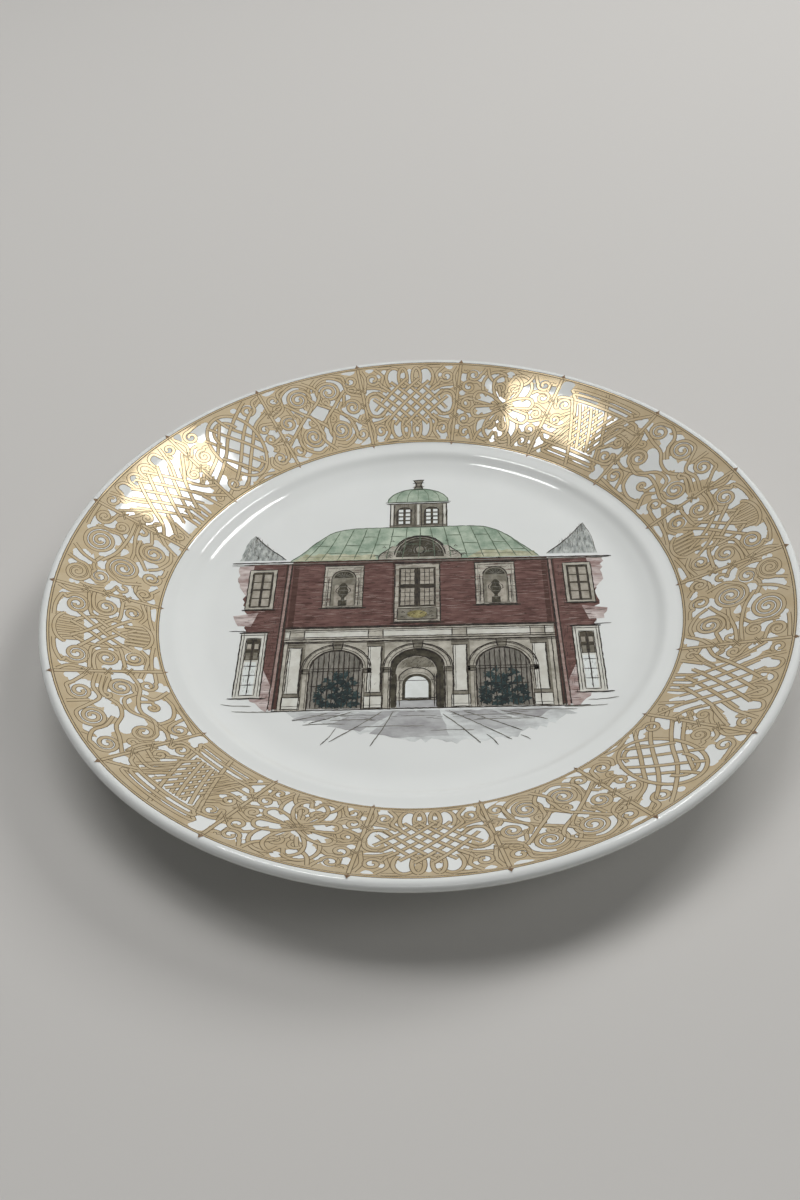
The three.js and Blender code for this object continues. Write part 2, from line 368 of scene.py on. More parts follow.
def smooth(points, step):
    """Even samples along a Catmull-Rom curve through the points."""
    p = np.array(points, float)
    if len(p) > 2:
        closed = np.allclose(p[0], p[-1])
        before = p[-2] if closed else 2 * p[0] - p[1]
        after = p[1] if closed else 2 * p[-1] - p[-2]
        ends = np.vstack([before, p, after])
        t = np.linspace(0, 1, 10, endpoint=False)[:, None]
        spans = []
        for a, b, c, d in zip(ends, ends[1:], ends[2:], ends[3:]):
            bend = (2 * a - 5 * b + 4 * c - d) * t ** 2 + (3 * b - a - 3 * c + d) * t ** 3
            spans.append(0.5 * (2 * b + (c - a) * t + bend))
        p = np.vstack([*spans, p[-1:]])
    lengths = np.concatenate([[0], np.cumsum(np.linalg.norm(np.diff(p, axis=0), axis=1))])
    count = max(3, int(round(lengths[-1] / step)))
    at = np.linspace(0, lengths[-1], count + 1)
    return np.column_stack([np.interp(at, lengths, p[:, k]) for k in (0, 1)])


def arc(x, y, across, up, start, end):
    count = max(4, int(abs(end - start) / 15))
    angles = np.radians(np.linspace(start, end, count + 1))
    return [(x + across * math.cos(a), y + up * math.sin(a)) for a in angles]


class Panel:
    """One lace design: straps over a gilt ground, and windows cut through the ground."""

    def __init__(self):
        self.straps = []
        self.windows = []

    def strap(self, *points):
        self.straps.append(list(points))

    def ring(self, x, y, across, up):
        self.straps.append(arc(x, y, across, up, 90, 450))

    def scroll(self, x, y, radius, start, way, stem=(), light=0.8):
        """A stem that ends in a spiral; way is 1 for counter-clockwise and -1 for clockwise.

        The ground is cut away under the inner share of the spiral that light says.
        """
        turns = (radius - SPIRAL_EYE) / SPIRAL_PITCH + 0.25
        count = int(turns * 14)
        points = list(stem)
        for step in range(count + 1):
            angle = math.radians(start + 360 * way * turns * step / count)
            reach = radius + (SPIRAL_EYE - radius) * step / count
            points.append((x + reach * math.cos(angle), y + reach * math.sin(angle)))
        self.straps.append(points)
        if light:
            self.oval(x, y, radius * light, radius * light)

    def window(self, *corners):
        self.windows.append([tuple(p) for p in smooth([*corners, corners[0]], 0.5)[:-1]])

    def oval(self, x, y, across, up):
        self.windows.append(arc(x, y, across, up, 0, 345))

    def lozenge(self, x, y, across, up):
        self.window((x - across, y), (x, y - up), (x + across, y), (x, y + up))

    def slot(self, start, end, half_width):
        """A long window between two points, pointed at both ends."""
        along = np.array(end, float) - np.array(start, float)
        side = np.array([-along[1], along[0]]) / np.linalg.norm(along) * half_width
        near, far = np.array(start) + along * 0.25, np.array(start) + along * 0.75
        self.window(start, tuple(near - side), tuple(far - side), end, tuple(far + side), tuple(near + side))

    def trellis(self, centres, half_width, half_height, lean):
        """Straight straps through (centre, 0), cut where they leave an oval field."""
        for centre in centres:
            t = np.linspace(-2, 2, 401)
            x, y = centre + lean * t * half_height, t * half_height
            inside = np.flatnonzero((x / half_width) ** 2 + (y / half_height) ** 2 < 1)
            if len(inside):
                first, last = inside[[0, -1]]
                self.strap((x[first], y[first]), (x[last], y[last]))

    def add(self, other):
        self.straps += other.straps
        self.windows += other.windows

    def add_mirrored(self, across=1, up=1):
        """Adds everything so far again, mirrored left to right (-1) or top to bottom (-1)."""
        for store in (self.straps, self.windows):
            store += [[(x * across, y * up) for x, y in path] for path in store]


def four_scrolls():
    panel = Panel()
    panel.strap((-1.5, 8.6), (0.4, 6.8), (1.1, 4.9), (0.2, 3.2), (-2.6, 1.0), (-5.4, -1.3), (-9.5, -4.6))
    panel.strap((6.4, 4.7), (3.6, 1.5), (1.1, -1.0), (-0.9, -3.4), (-1.2, -5.8), (0.9, -8.6))
    panel.strap((9.6, 2.7), (7.1, 3.9), (6.3, 6.9), (3.6, 8.5), (1.2, 7.6), (0.3, 5.6))
    panel.scroll(3.2, 5.0, 2.5, 200, -1, [(2.2, 1.2), (1.0, 2.8)])
    panel.scroll(3.4, -4.4, 2.6, 150, 1, [(2.4, 0.6), (1.3, -1.6)])
    panel.strap((1.3, -7.6), (3.6, -8.3), (6.4, -6.6), (6.6, -3.4), (4.4, 0.2), (5.3, 2.2))
    panel.scroll(1.9, 2.9, 0.8, -40, 1, light=0)
    panel.scroll(2.2, -1.4, 0.8, 60, -1, light=0)
    panel.scroll(8.0, 6.6, 1.35, 200, 1, [(4.9, 8.7), (6.6, 7.9)])
    panel.scroll(8.1, 4.3, 0.9, 160, -1, [(9.7, 3.6)], light=0)
    panel.scroll(7.3, 0.3, 1.9, 160, -1, [(6.1, 3.6)], light=0.9)
    panel.scroll(8.1, -6.3, 1.45, 150, 1, [(6.2, -2.9)], light=0.9)
    panel.strap((8.8, -1.9), (8.1, -3.1), (9.7, -4.0))
    panel.slot((6.1, 4.0), (3.6, 0.9), 0.62)
    panel.slot((3.6, -7.1), (5.9, -5.6), 0.35)
    panel.window((9.4, 8.9), (6.6, 8.9), (8.4, 8.1))
    panel.slot((3.4, 7.8), (5.8, 6.2), 0.3)
    panel.window((6.8, -8.8), (9.4, -8.8), (9.5, -7.6))
    panel.add_mirrored(across=-1)
    panel.lozenge(0, 0.9, 2.4, 2.2)
    panel.oval(0, 5.2, 0.9, 1.7)
    panel.oval(0, -4.3, 1.0, 2.3)
    return panel


def woven_oval():
    panel = Panel()
    panel.strap((-9.4, 7.7), (-6.4, 5.6), (-3.4, 2.7), (1.3, -2.7), (5.2, -5.9), (9.6, -7.9))
    panel.strap((-6.6, 8.8), (-4.2, 6.9), (0.0, 3.3), (3.2, -0.2), (6.2, -2.5), (9.6, -4.3))
    panel.strap((-9.6, 4.6), (-6.2, 2.8), (-3.4, -0.6), (-0.7, -3.6), (2.0, -6.4), (4.6, -8.7))
    panel.strap((0.2, 6.3), (2.4, 3.4), (5.4, 0.2), (9.6, -2.1))
    panel.strap((-4.9, -4.0), (-2.6, -0.8), (0.6, 3.4), (2.6, 6.6))
    panel.strap((-3.2, -6.0), (-0.2, -2.3), (2.6, 1.2), (4.8, 4.6))
    panel.strap((-5.2, -0.9), (-3.0, 2.0), (-0.9, 4.9), (0.0, 7.6))
    panel.strap((-0.6, -7.0), (1.9, -3.9), (4.6, -0.6))
    panel.ring(-0.15, 0.2, 5.25, 7.7)
    panel.strap(*arc(0.2, 3.2, 2.6, 3.2, 165, -20))
    panel.strap(*arc(-0.6, -3.6, 2.6, 2.8, 190, 350))
    panel.oval(-0.15, 0.2, 5.0, 7.5)
    panel.scroll(-6.4, 6.6, 1.5, 160, 1, [(-9.5, 8.6), (-8.1, 8.0)], light=0.9)
    panel.scroll(-7.3, 1.0, 1.2, 120, -1, [(-9.6, 1.6)])
    panel.scroll(-7.4, -1.6, 1.2, -120, 1, [(-9.6, -2.0)], light=0)
    panel.scroll(-6.9, -6.4, 1.5, -140, 1, [(-9.4, -4.6), (-8.8, -6.9)], light=0.9)
    panel.scroll(-7.0, -4.0, 0.9, 90, 1, [(-9.4, -3.4)], light=0)
    panel.scroll(6.5, 6.9, 1.5, 110, -1, [(3.6, 8.7), (5.2, 8.5)], light=0.9)
    panel.scroll(7.4, 1.9, 1.6, 130, -1, [(5.3, 3.4), (6.1, 3.6)], light=0)
    panel.scroll(6.8, -6.6, 1.5, -120, 1, [(3.4, -7.6), (5.2, -8.4)], light=0.9)
    panel.strap((9.6, 8.6), (8.6, 5.9), (9.6, 3.9))
    panel.strap((6.9, 4.7), (8.2, 4.6), (9.6, 3.2))
    panel.strap((-5.2, -8.8), (-4.2, -7.0), (-5.2, -5.4))
    panel.scroll(8.4, -1.1, 0.8, 90, -1, [(9.7, 0.4)], light=0)
    panel.strap((-3.6, -8.8), (-1.0, -8.3), (1.6, -8.7))
    panel.window((-9.2, 6.9), (-9.2, 5.2), (-7.4, 5.5))
    panel.window((7.8, 8.9), (9.3, 8.9), (8.6, 7.2))
    panel.window((-3.4, -7.6), (-0.2, -8.9), (-3.4, -8.9))
    panel.window((7.2, -4.3), (9.4, -5.0), (9.4, -7.2))
    panel.window((5.0, -7.7), (3.2, -8.9), (2.6, -7.2))
    return panel


def diamond_trellis():
    panel = Panel()
    centres = np.arange(-5.2, 5.3, 2.6)
    panel.trellis(centres, 7.7, 7.0, 0.62)
    panel.trellis(centres, 7.7, 7.0, -0.62)
    half = Panel()
    half.strap((4.3, 1.6), (6.0, 4.7), (7.0, 8.7))
    half.strap((5.6, 0.4), (7.6, 2.6), (9.6, 5.2))
    half.strap((4.4, -2.6), (6.4, -5.2), (9.6, -7.7))
    half.strap((5.7, -1.2), (7.4, -3.3), (9.6, -4.6))
    half.strap((3.3, 5.8), (3.6, 8.0), (5.2, 8.5), (5.9, 6.6))
    half.strap(*arc(1.5, 6.2, 1.35, 2.1, -20, 200))
    half.scroll(8.2, 7.3, 1.2, 200, 1, [(7.3, 5.3)])
    half.scroll(7.9, 0.0, 1.25, 110, 1, [(9.6, 2.6), (8.6, 1.7)], light=0)
    half.scroll(8.4, -2.5, 0.8, 200, -1, [(9.6, -1.2)])
    half.scroll(7.7, -7.1, 1.0, 60, -1, [(9.6, -5.9)], light=0)
    half.strap((5.2, -4.6), (6.4, -8.8))
    half.slot((3.6, 1.6), (5.3, 7.2), 0.85)
    half.slot((5.2, 1.0), (7.4, 4.8), 0.6)
    half.slot((3.7, -3.2), (5.4, -7.4), 0.8)
    half.slot((5.6, -2.6), (8.2, -5.4), 0.55)
    half.window((8.0, 4.6), (9.4, 6.2), (9.4, 4.8))
    for x in (0.75, 2.2):
        half.strap((x, -8.8), (x, -4.4))
    half.slot((1.5, -4.2), (1.5, -8.7), 0.5)
    half.slot((2.9, -4.6), (2.9, -8.7), 0.4)
    half.add_mirrored(across=-1)
    panel.add(half)
    panel.window((-3.9, 4.1), (3.9, 4.1), (5.2, 0.2), (3.9, -3.9), (-3.9, -3.9), (-5.2, 0.2))
    panel.slot((0, -4.2), (0, -8.7), 0.4)
    return panel


def nine_spirals():
    panel = Panel()
    panel.scroll(-2.2, 4.8, 3.1, 200, -1, [(-3.0, -0.2), (-5.2, 2.0)], light=0.93)
    panel.scroll(2.4, -1.2, 3.1, 20, 1, [(5.0, -5.2), (6.1, -2.0)], light=0.8)
    panel.scroll(-4.4, -4.9, 2.6, 150, -1, [(-9.6, -2.4), (-7.8, -3.2)], light=0.7)
    panel.scroll(6.5, 6.2, 2.4, 170, 1, [(3.3, 8.7), (4.0, 7.0)], light=0)
    panel.scroll(-7.7, 6.6, 1.6, -90, 1, [(-9.6, 4.7)], light=0)
    panel.scroll(-7.1, 2.8, 1.5, 30, -1, [(-5.3, 6.8), (-5.4, 4.6)], light=0)
    panel.scroll(6.2, 2.2, 1.7, 140, -1, [(1.4, 3.2), (3.4, 4.0), (4.7, 3.6)], light=0.95)
    panel.scroll(2.5, -6.5, 1.8, -140, 1, [(-1.6, -8.4), (0.6, -8.3)], light=0.85)
    panel.scroll(7.5, -6.1, 1.6, -130, 1, [(4.9, -8.4), (6.1, -7.7)], light=0)
    panel.scroll(7.6, -2.3, 1.1, 100, -1, [(9.6, 0.6), (8.8, -0.6)])
    panel.scroll(-8.3, -1.1, 0.8, 200, 1, [(-9.7, 0.2)])
    panel.strap((-9.6, 1.0), (-5.4, 0.5), (-1.0, 1.1), (2.2, 2.9))
    panel.strap((-9.6, 0.1), (-6.2, -0.5), (-3.0, -1.6), (-0.8, -1.8))
    panel.strap((-9.6, -4.4), (-8.0, -6.2), (-6.6, -8.7))
    panel.strap((-6.2, -1.6), (-3.2, -2.0), (-0.9, -3.8), (0.8, -5.0))
    panel.strap((0.6, 8.6), (2.2, 6.4), (3.2, 3.8))
    panel.strap((8.7, 5.2), (9.0, 3.4), (8.4, 1.0))
    panel.strap((-9.6, 8.7), (-6.4, 8.5), (-4.6, 8.3))
    panel.strap((4.6, -4.6), (7.2, -4.5), (9.6, -6.6))
    panel.strap((-6.8, -7.6), (-4.2, -8.3), (-1.2, -7.2), (0.4, -5.4))
    panel.window((-6.8, 8.3), (-4.8, 8.2), (-5.9, 6.2))
    panel.window((1.4, 4.8), (3.0, 5.2), (3.0, 4.2))
    panel.window((-6.6, 0.1), (-4.6, 0.1), (-5.6, -0.6))
    panel.window((-2.4, 0.4), (-0.4, 0.2), (-2.2, -0.9))
    panel.window((-9.5, -0.4), (-7.9, -1.2), (-8.6, -2.6))
    panel.window((5.6, -0.8), (7.0, -3.2), (5.9, -3.4))
    panel.window((-9.5, 7.0), (-9.5, 4.8), (-8.8, 5.2))
    panel.window((8.2, 3.9), (8.9, 2.9), (8.5, 1.3))
    panel.window((-7.6, -7.2), (-6.8, -8.9), (-8.8, -8.9))
    return panel


def spiral_knot():
    panel = Panel()
    panel.scroll(5.9, 4.9, 2.2, 60, -1, [(2.6, 8.5), (5.2, 8.4), (7.6, 7.6)], light=0.95)
    panel.scroll(6.6, -0.1, 2.1, 100, 1, [(9.6, 2.3), (7.9, 2.3)], light=0.6)
    panel.scroll(6.4, -4.8, 1.8, 60, -1, [(9.6, -2.5), (8.2, -2.9)], light=0.95)
    panel.strap((2.6, -8.5), (5.6, -7.9), (9.4, -7.4))
    panel.strap((9.5, 8.6), (8.7, 6.4), (9.5, 3.6))
    panel.strap((3.4, 1.0), (4.7, 2.4), (9.2, 3.2))
    panel.strap((3.3, -1.4), (4.4, -2.7), (9.0, -2.9))
    panel.strap((-4.3, 4.6), (-1.9, 1.9), (2.0, -1.9), (4.2, -4.6))
    panel.strap((-4.4, 2.4), (-2.2, 0.1), (0.0, -2.7), (1.7, -5.6))
    panel.strap((-1.7, 5.6), (-0.1, 2.8), (2.2, 0.2), (4.4, -2.3))
    panel.strap(*arc(0, 0, 3.6, 5.9, -62, 62))
    panel.strap((4.0, -6.3), (6.2, -7.2), (9.4, -6.3))
    for x, height in ((0.55, 7.9), (1.6, 7.7), (2.6, 7.0)):
        panel.strap((x * 0.9, 4.2 - x * 0.3), (x, height))
        panel.strap((x * 0.9, -4.2 + x * 0.3), (x, -height))
    panel.lozenge(2.4, 2.4, 0.85, 1.5)
    panel.lozenge(2.4, -2.5, 0.8, 1.3)
    panel.window((7.6, 8.3), (9.0, 7.2), (8.8, 5.2), (8.2, 6.6))
    panel.window((7.8, -7.6), (9.2, -8.8), (5.2, -8.8))
    panel.add_mirrored(across=-1)
    panel.lozenge(0, 2.1, 0.8, 1.0)
    panel.lozenge(0, -2.4, 0.8, 1.1)
    panel.strap(*arc(0, 6.1, 3.4, 2.3, 15, 165))
    panel.strap(*arc(0, -6.1, 3.4, 2.3, 195, 345))
    return panel


def running_vine():
    panel = Panel()
    upper_stem = [(-9.5, 2.3), (-6.4, 3.5), (-3.6, 3.2), (-2.2, 5.4), (-1.0, 7.8)]
    panel.scroll(0.5, 5.8, 2.3, 90, -1, upper_stem, 0.93)
    panel.scroll(-5.4, 5.9, 1.9, 110, -1, [(-9.5, 3.9), (-7.8, 6.2), (-7.0, 7.7)], light=0.95)
    panel.strap((-8.8, 1.2), (-4.8, 2.5), (-1.6, 0.7), (1.2, 1.1), (3.6, 3.1), (6.4, 3.9), (9.6, 5.3))
    panel.scroll(6.9, 6.4, 2.0, 100, -1, [(1.2, 2.6), (3.0, 4.6), (3.6, 7.0), (5.4, 8.5)], light=0.95)
    left_stem = [(9.5, -3.3), (7.0, -3.9), (3.2, -2.8), (0.4, -0.6), (-2.6, -0.7), (-3.9, -3.0)]
    panel.scroll(-5.8, -1.0, 2.2, -60, -1, left_stem, 0.95)
    right_stem = [(-9.5, -3.4), (-5.6, -4.2), (-2.0, -2.9), (1.0, -2.3), (4.0, -3.4)]
    panel.scroll(6.2, -0.5, 2.1, -70, 1, right_stem, 0.5)
    panel.scroll(-5.9, -5.7, 1.5, -110, 1, [(-9.5, -7.7), (-6.8, -7.4)], light=0.9)
    panel.strap((-3.8, -8.7), (-1.9, -5.8), (-3.3, -4.1))
    panel.strap((-2.9, -7.4), (0.6, -8.1), (3.9, -6.8), (4.9, -4.2), (4.3, -3.4))
    panel.scroll(0.4, -4.6, 1.1, 200, 1, [(-1.6, -3.1), (-1.2, -5.0)], light=0)
    panel.scroll(7.5, -6.2, 1.7, 160, -1, [(4.6, -8.7), (5.4, -6.6)], light=0.9)
    panel.scroll(-3.9, 1.9, 0.8, 180, 1, [(-8.4, 0.3), (-6.0, 1.5)], light=0)
    panel.scroll(7.9, 2.5, 0.9, -60, -1, [(9.6, 0.6), (8.6, 0.9)], light=0)
    panel.strap((9.4, -1.6), (8.9, 1.8), (9.5, 4.6))
    panel.strap((-3.4, 8.7), (-3.2, 5.0))
    panel.strap((3.4, 8.7), (4.8, 7.4))
    panel.strap((9.6, -8.0), (5.2, -8.6), (1.0, -8.7))
    panel.strap((-9.6, -5.6), (-8.2, -4.9))
    panel.window((-1.6, 1.4), (0.2, 1.7), (1.9, 3.1), (0.2, 3.0), (-1.6, 2.6))
    panel.window((3.8, 2.6), (5.2, 3.0), (5.8, 1.8), (4.2, 0.2))
    panel.window((-3.2, -0.2), (-1.4, 0.2), (-1.8, -1.7), (-3.0, -1.6))
    panel.window((0.9, 0.6), (2.6, 1.6), (3.0, -0.6), (1.4, -0.8))
    panel.window((-1.0, -2.3), (0.4, -1.4), (1.8, -2.1), (1.4, -2.7), (-0.8, -2.8))
    panel.window((1.6, -3.2), (4.2, -3.9), (4.3, -5.4), (2.6, -6.9), (0.4, -6.7), (1.9, -5.2))
    panel.window((-9.4, 6.9), (-7.6, 6.9), (-8.9, 4.6))
    panel.window((-3.4, 2.9), (-1.2, 3.4), (-1.8, 4.6), (-2.8, 4.2))
    panel.window((2.9, 3.3), (4.8, 4.0), (4.0, 5.2))
    panel.window((8.6, 4.6), (9.4, 4.4), (9.4, 7.6), (8.8, 6.2))
    panel.window((-4.6, -6.2), (-3.6, -8.8), (-5.8, -8.8))
    panel.window((8.3, -2.9), (9.4, -3.6), (9.4, -5.2))
    return panel


def fretwork():
    panel = Panel()
    for half, height in ((6.3, 7.75), (5.7, 6.75)):
        panel.strap((-half, height - 1.2), (-half, height), (half, height), (half, height - 1.2))
        panel.slot((-half + 0.4, height - 0.5), (-0.5, height - 0.5), 0.3)
        panel.slot((0.9, height - 0.5), (half - 0.3, height - 0.5), 0.3)
    panel.strap((-9.0, 4.4), (-6.6, 5.4), (7.4, 5.4), (9.6, 3.6))
    panel.strap((-9.6, 8.6), (-6.3, 5.4))
    panel.strap((-5.2, 5.2), (-2.7, 1.0))
    panel.strap((-6.9, 3.9), (-4.0, -0.8))
    panel.strap((-8.3, 2.4), (-5.6, -2.2))
    panel.scroll(7.2, 3.6, 1.5, -40, 1, [(9.6, 4.9), (8.9, 2.6)])
    panel.scroll(7.6, -0.2, 1.3, 120, -1, [(4.7, 2.9), (6.2, 1.6)], light=0)
    panel.strap((5.4, 4.9), (4.4, 1.4), (6.2, -1.6), (9.6, -1.3))
    panel.strap((3.9, -0.6), (5.6, -3.4), (9.6, -3.4))
    panel.window((7.2, 8.8), (9.4, 8.8), (9.4, 6.4), (8.3, 6.2))
    panel.window((6.6, 6.7), (7.7, 7.9), (8.2, 6.6), (7.4, 5.8))
    panel.slot((-4.6, 4.6), (-2.9, 1.4), 0.5)
    panel.slot((-5.7, 2.9), (-4.2, 0.2), 0.5)
    panel.windows += [[(-x, -y) for x, y in path] for path in panel.windows[:6]]
    panel.straps += [[(-x, -y) for x, y in path] for path in panel.straps]
    panel.strap((0.4, 8.8), (-6.1, -4.9))
    panel.strap((6.4, 5.4), (-0.2, -8.8))
    for shift in np.arange(-4.4, 6.3, 1.35):
        panel.strap((shift - 3.0, 4.8), (shift + 1.2, -4.8))
    for shift in np.arange(-1.6, 3.5, 1.25):
        panel.strap((shift + 2.2, 4.8), (shift - 2.4, -4.8))
    panel.window((-2.2, 4.6), (4.9, 4.6), (1.6, -4.6), (-4.4, -4.6))
    return panel


def ringed_cross():
    panel = Panel()
    panel.strap((-1.2, -0.9), (1.4, 1.7), (2.6, 3.9), (2.7, 6.2), (1.2, 7.6), (0.3, 6.0))
    panel.strap((-2.4, -0.9), (0.2, 0.7), (2.6, 2.3), (5.4, 3.0), (6.4, 1.6), (5.4, 0.2))
    panel.strap((0.6, -0.2), (2.6, 0.1), (5.9, 0.7))
    panel.strap((0.9, 2.6), (1.9, 4.8), (3.8, 6.6), (4.6, 8.7))
    panel.strap(*arc(2.3, 4.9, 2.7, 3.2, -60, 130))
    panel.scroll(1.6, 4.5, 1.2, 250, -1, [(0.2, 2.2), (0.5, 3.2)], light=0)
    panel.scroll(7.2, 6.9, 1.4, 170, 1, [(4.9, 8.7), (5.6, 7.2)], light=0.9)
    panel.scroll(7.8, 3.9, 1.5, 130, -1, [(5.2, 4.3), (6.2, 5.2)], light=0.6)
    panel.strap((6.6, 2.0), (7.6, 1.9), (9.6, 0.9))
    panel.strap((1.0, 8.6), (3.0, 7.9))
    panel.scroll(9.0, 8.0, 0.7, 200, 1, [(8.2, 5.6)], light=0)
    panel.slot((1.9, 1.0), (5.3, 2.3), 0.55)
    panel.slot((1.2, 1.6), (2.4, 3.6), 0.4)
    panel.window((2.9, 3.5), (4.4, 4.2), (4.2, 6.6), (3.2, 5.2))
    panel.add_mirrored(up=-1)
    panel.scroll(7.7, -0.1, 1.3, 130, -1, [(5.6, -0.2), (6.4, 1.1)], light=0)
    panel.slot((2.4, -0.2), (5.6, -1.2), 0.6)
    panel.slot((2.4, 0.4), (5.6, 0.9), 0.45)
    panel.window((5.1, 7.9), (5.6, 5.9), (6.6, 5.4), (5.8, 7.9))
    panel.add_mirrored(across=-1)
    panel.lozenge(0, 7.9, 0.9, 0.8)
    panel.lozenge(0, -7.7, 0.9, 0.9)
    panel.ring(0, 0.1, 0.7, 0.7)
    return panel


def looped_trellis():
    panel = Panel()
    rows = np.arange(-6.5, 6.6, 2.6)
    panel.trellis(rows, 8.2, 6.0, 1.0)
    panel.trellis(rows, 8.2, 6.0, -1.0)
    panel.window((-4.2, 3.9), (4.2, 3.9), (6.3, 1.2), (6.3, -1.2),
                 (4.2, -3.9), (-4.2, -3.9), (-6.3, -1.2), (-6.3, 1.2))
    half = Panel()
    half.ring(1.35, 6.1, 0.85, 2.3)
    half.strap(*arc(3.1, 6.0, 1.6, 2.5, -50, 150))
    half.strap((5.2, 1.4), (7.2, 2.9), (9.0, 2.2), (9.5, 0.0), (9.0, -2.2), (7.2, -2.7), (5.2, -1.2))
    half.oval(3.0, 6.0, 1.25, 2.2)
    half.strap((4.2, 3.2), (5.8, 4.6), (5.4, 6.8), (6.8, 8.7))
    half.strap((4.8, 2.9), (6.8, 4.0), (9.6, 4.4))
    half.scroll(7.4, 6.3, 1.4, -140, 1, [(5.6, 3.8)], light=0.7)
    half.strap((9.5, 8.6), (8.9, 6.4), (9.5, 3.4))
    half.strap((3.4, 8.7), (6.0, 8.8))
    half.window((6.2, 3.2), (8.6, 3.5), (8.8, 4.1), (6.8, 3.8))
    half.window((6.9, 8.7), (8.6, 8.8), (7.9, 7.9))
    half.add_mirrored(up=-1)
    half.oval(7.85, 0.1, 1.15, 1.7)
    half.add_mirrored(across=-1)
    panel.add(half)
    panel.oval(0, 6.0, 0.75, 2.2)
    panel.oval(0, -6.0, 0.75, 2.2)
    return panel


# The designs of panels 1 to 9, counter-clockwise; panels 10 to 18 repeat them.
DESIGNS = [four_scrolls, woven_oval, diamond_trellis, nine_spirals, spiral_knot,
           running_vine, fretwork, ringed_cross, looped_trellis]


# ---- Gilt lace border ------------------------------------------------------------------------

PANEL_COUNT = 18
FIRST_DIVIDER = 11.8

# Radii of the two edge lines; the panels fill the band between them.
LINE_OUTSIDE = (126.15, 127.1)
LINE_INSIDE = (92.2, 93.15)
BAND_MIDDLE = (LINE_OUTSIDE[0] + LINE_INSIDE[1]) / 2
BAND_SCALE = (LINE_OUTSIDE[0] - LINE_INSIDE[1]) / 2 / HALF_BAND
SLOPE_SCALE = BAND_SCALE / math.cos(RIM_SLOPE)

# A strap lies on a gilt ground, between two outlines, and rises where it passes over another.
STRAP_HALF_WIDTH = 0.78
STRAP_HEIGHT = 0.016
STRAP_STEP = 0.3
OUTLINE_WIDTH = 0.27
OUTLINE_HEIGHT = 0.014
GROUND_HEIGHT = 0.035
GROUND_UNDERSIDE = 0.01
CROSSING_RISE = 0.036
CROSSING_REACH = 1.5

# Straps start at five heights in turn, so that no two that meet share a surface.
STRAP_STAGGER = 0.003

# The bar between two panels, the leaves across it, and the stud at each of its ends.
DIVIDER_HALF_WIDTH = 0.72
BAR_RISE = 0.8
LEAVES = (-3.4, 0.2, 3.8)
LEAF_REACH = (0.8, 0.7)
LEAF_HALF_WIDTH = 0.42
STUDS = ((HALF_BAND + 0.6, 0.66), (-HALF_BAND - 0.5, 0.6))
STUD_HEIGHT = 0.2

# Gaps between straps, measured from a strap's middle line to the middle of the gap, are cut open
# where they are wide enough and where a slow wave over the panel is above GAP_LEVEL.
GAP_STEP = 0.45
GAP_MARGINS = (0.9, 1.3)
GAP_LEVEL = -0.02
NARROWEST_GAP = 1.15
WIDEST_GAP = 1.5
WINDOW_UNDER_STRAP = 0.3
WINDOW_SPACING = 0.6

# A face counts as upward when its normal is this close to the rim's, as a cosine.
UPWARD = 0.9

# Numbers that tell apart the rows of points of a relief: a strap's section has six, from one
# outer foot over the two crests to the other foot, and the gilt ground has its top and its bottom.
FILL_EDGES = (2, 3)
OUTER_FEET = (0, 5)
GROUND_TOP, GROUND_BOTTOM = 6, 7

# Sides of a strap's section that are plain gold: its fill, and its underside.
FLAT_COLUMNS = (2, 5)

# Material numbers of a relief.
FILL, OUTLINE = 0, 1


def on_band(points, lift, middle_degrees):
    """Places panel points on the sloping rim, lift millimetres above the glaze."""
    radius = BAND_MIDDLE + points[:, 1] * BAND_SCALE
    height = face_height(radius) + lift * math.cos(RIM_SLOPE)
    radius = radius - lift * math.sin(RIM_SLOPE)
    angle = np.radians(middle_degrees + points[:, 0])
    return np.column_stack([radius * np.sin(angle), -radius * np.cos(angle), height])


def shifted(points, distance):
    """The points moved sideways, by millimetres measured on the rim."""
    scale_x = np.radians(1) * (BAND_MIDDLE + points[:, 1] * BAND_SCALE)
    scales = np.column_stack([scale_x, np.full(len(points), SLOPE_SCALE)])
    along = np.gradient(points, axis=0) * scales
    along /= np.linalg.norm(along, axis=1)[:, None] + 1e-9
    side = np.column_stack([-along[:, 1] / scale_x, along[:, 0] / SLOPE_SCALE])
    return points + side * distance


def meetings(first, second):
    """Sample numbers along two sampled straps where they cross."""
    p, q = first[:-1, None], second[None, :-1]
    r, s = np.diff(first, axis=0)[:, None], np.diff(second, axis=0)[None]
    gap = q - p
    cross = r[..., 0] * s[..., 1] - r[..., 1] * s[..., 0]
    cross = np.where(np.abs(cross) < 1e-9, 1e-9, cross)
    t = (gap[..., 0] * s[..., 1] - gap[..., 1] * s[..., 0]) / cross
    u = (gap[..., 0] * r[..., 1] - gap[..., 1] * r[..., 0]) / cross
    return np.argwhere((t >= 0) & (t < 1) & (u >= 0) & (u < 1))


def crossing_rises(paths):
    """How far each sample of each strap rises, so that straps pass over and under in turn."""
    met = [[] for _ in paths]
    count = 0
    for i, first in enumerate(paths):
        for j in range(i + 1, len(paths)):
            for at_first, at_second in meetings(first, paths[j]):
                met[i].append((at_first, count, True))
                met[j].append((at_second, count, False))
                count += 1
    first_over = {}
    for i, crossings in enumerate(met):
        over = i % 2 == 0
        for _, crossing, is_first in sorted(crossings):
            over = is_first and not over
            if is_first:
                first_over[crossing] = over
    rises = []
    for path, crossings in zip(paths, met):
        rise = np.zeros(len(path))
        for sample, crossing, is_first in crossings:
            if first_over[crossing] == is_first:
                distance = np.linalg.norm(path - path[sample], axis=1) / CROSSING_REACH
                near = np.abs(np.arange(len(path)) - sample) < 2 * CROSSING_REACH / STRAP_STEP
                bump = 0.5 + 0.5 * np.cos(math.pi * np.minimum(distance, 1))
                rise = np.maximum(rise, np.where(near, bump, 0))
        rises.append(rise)
    return rises


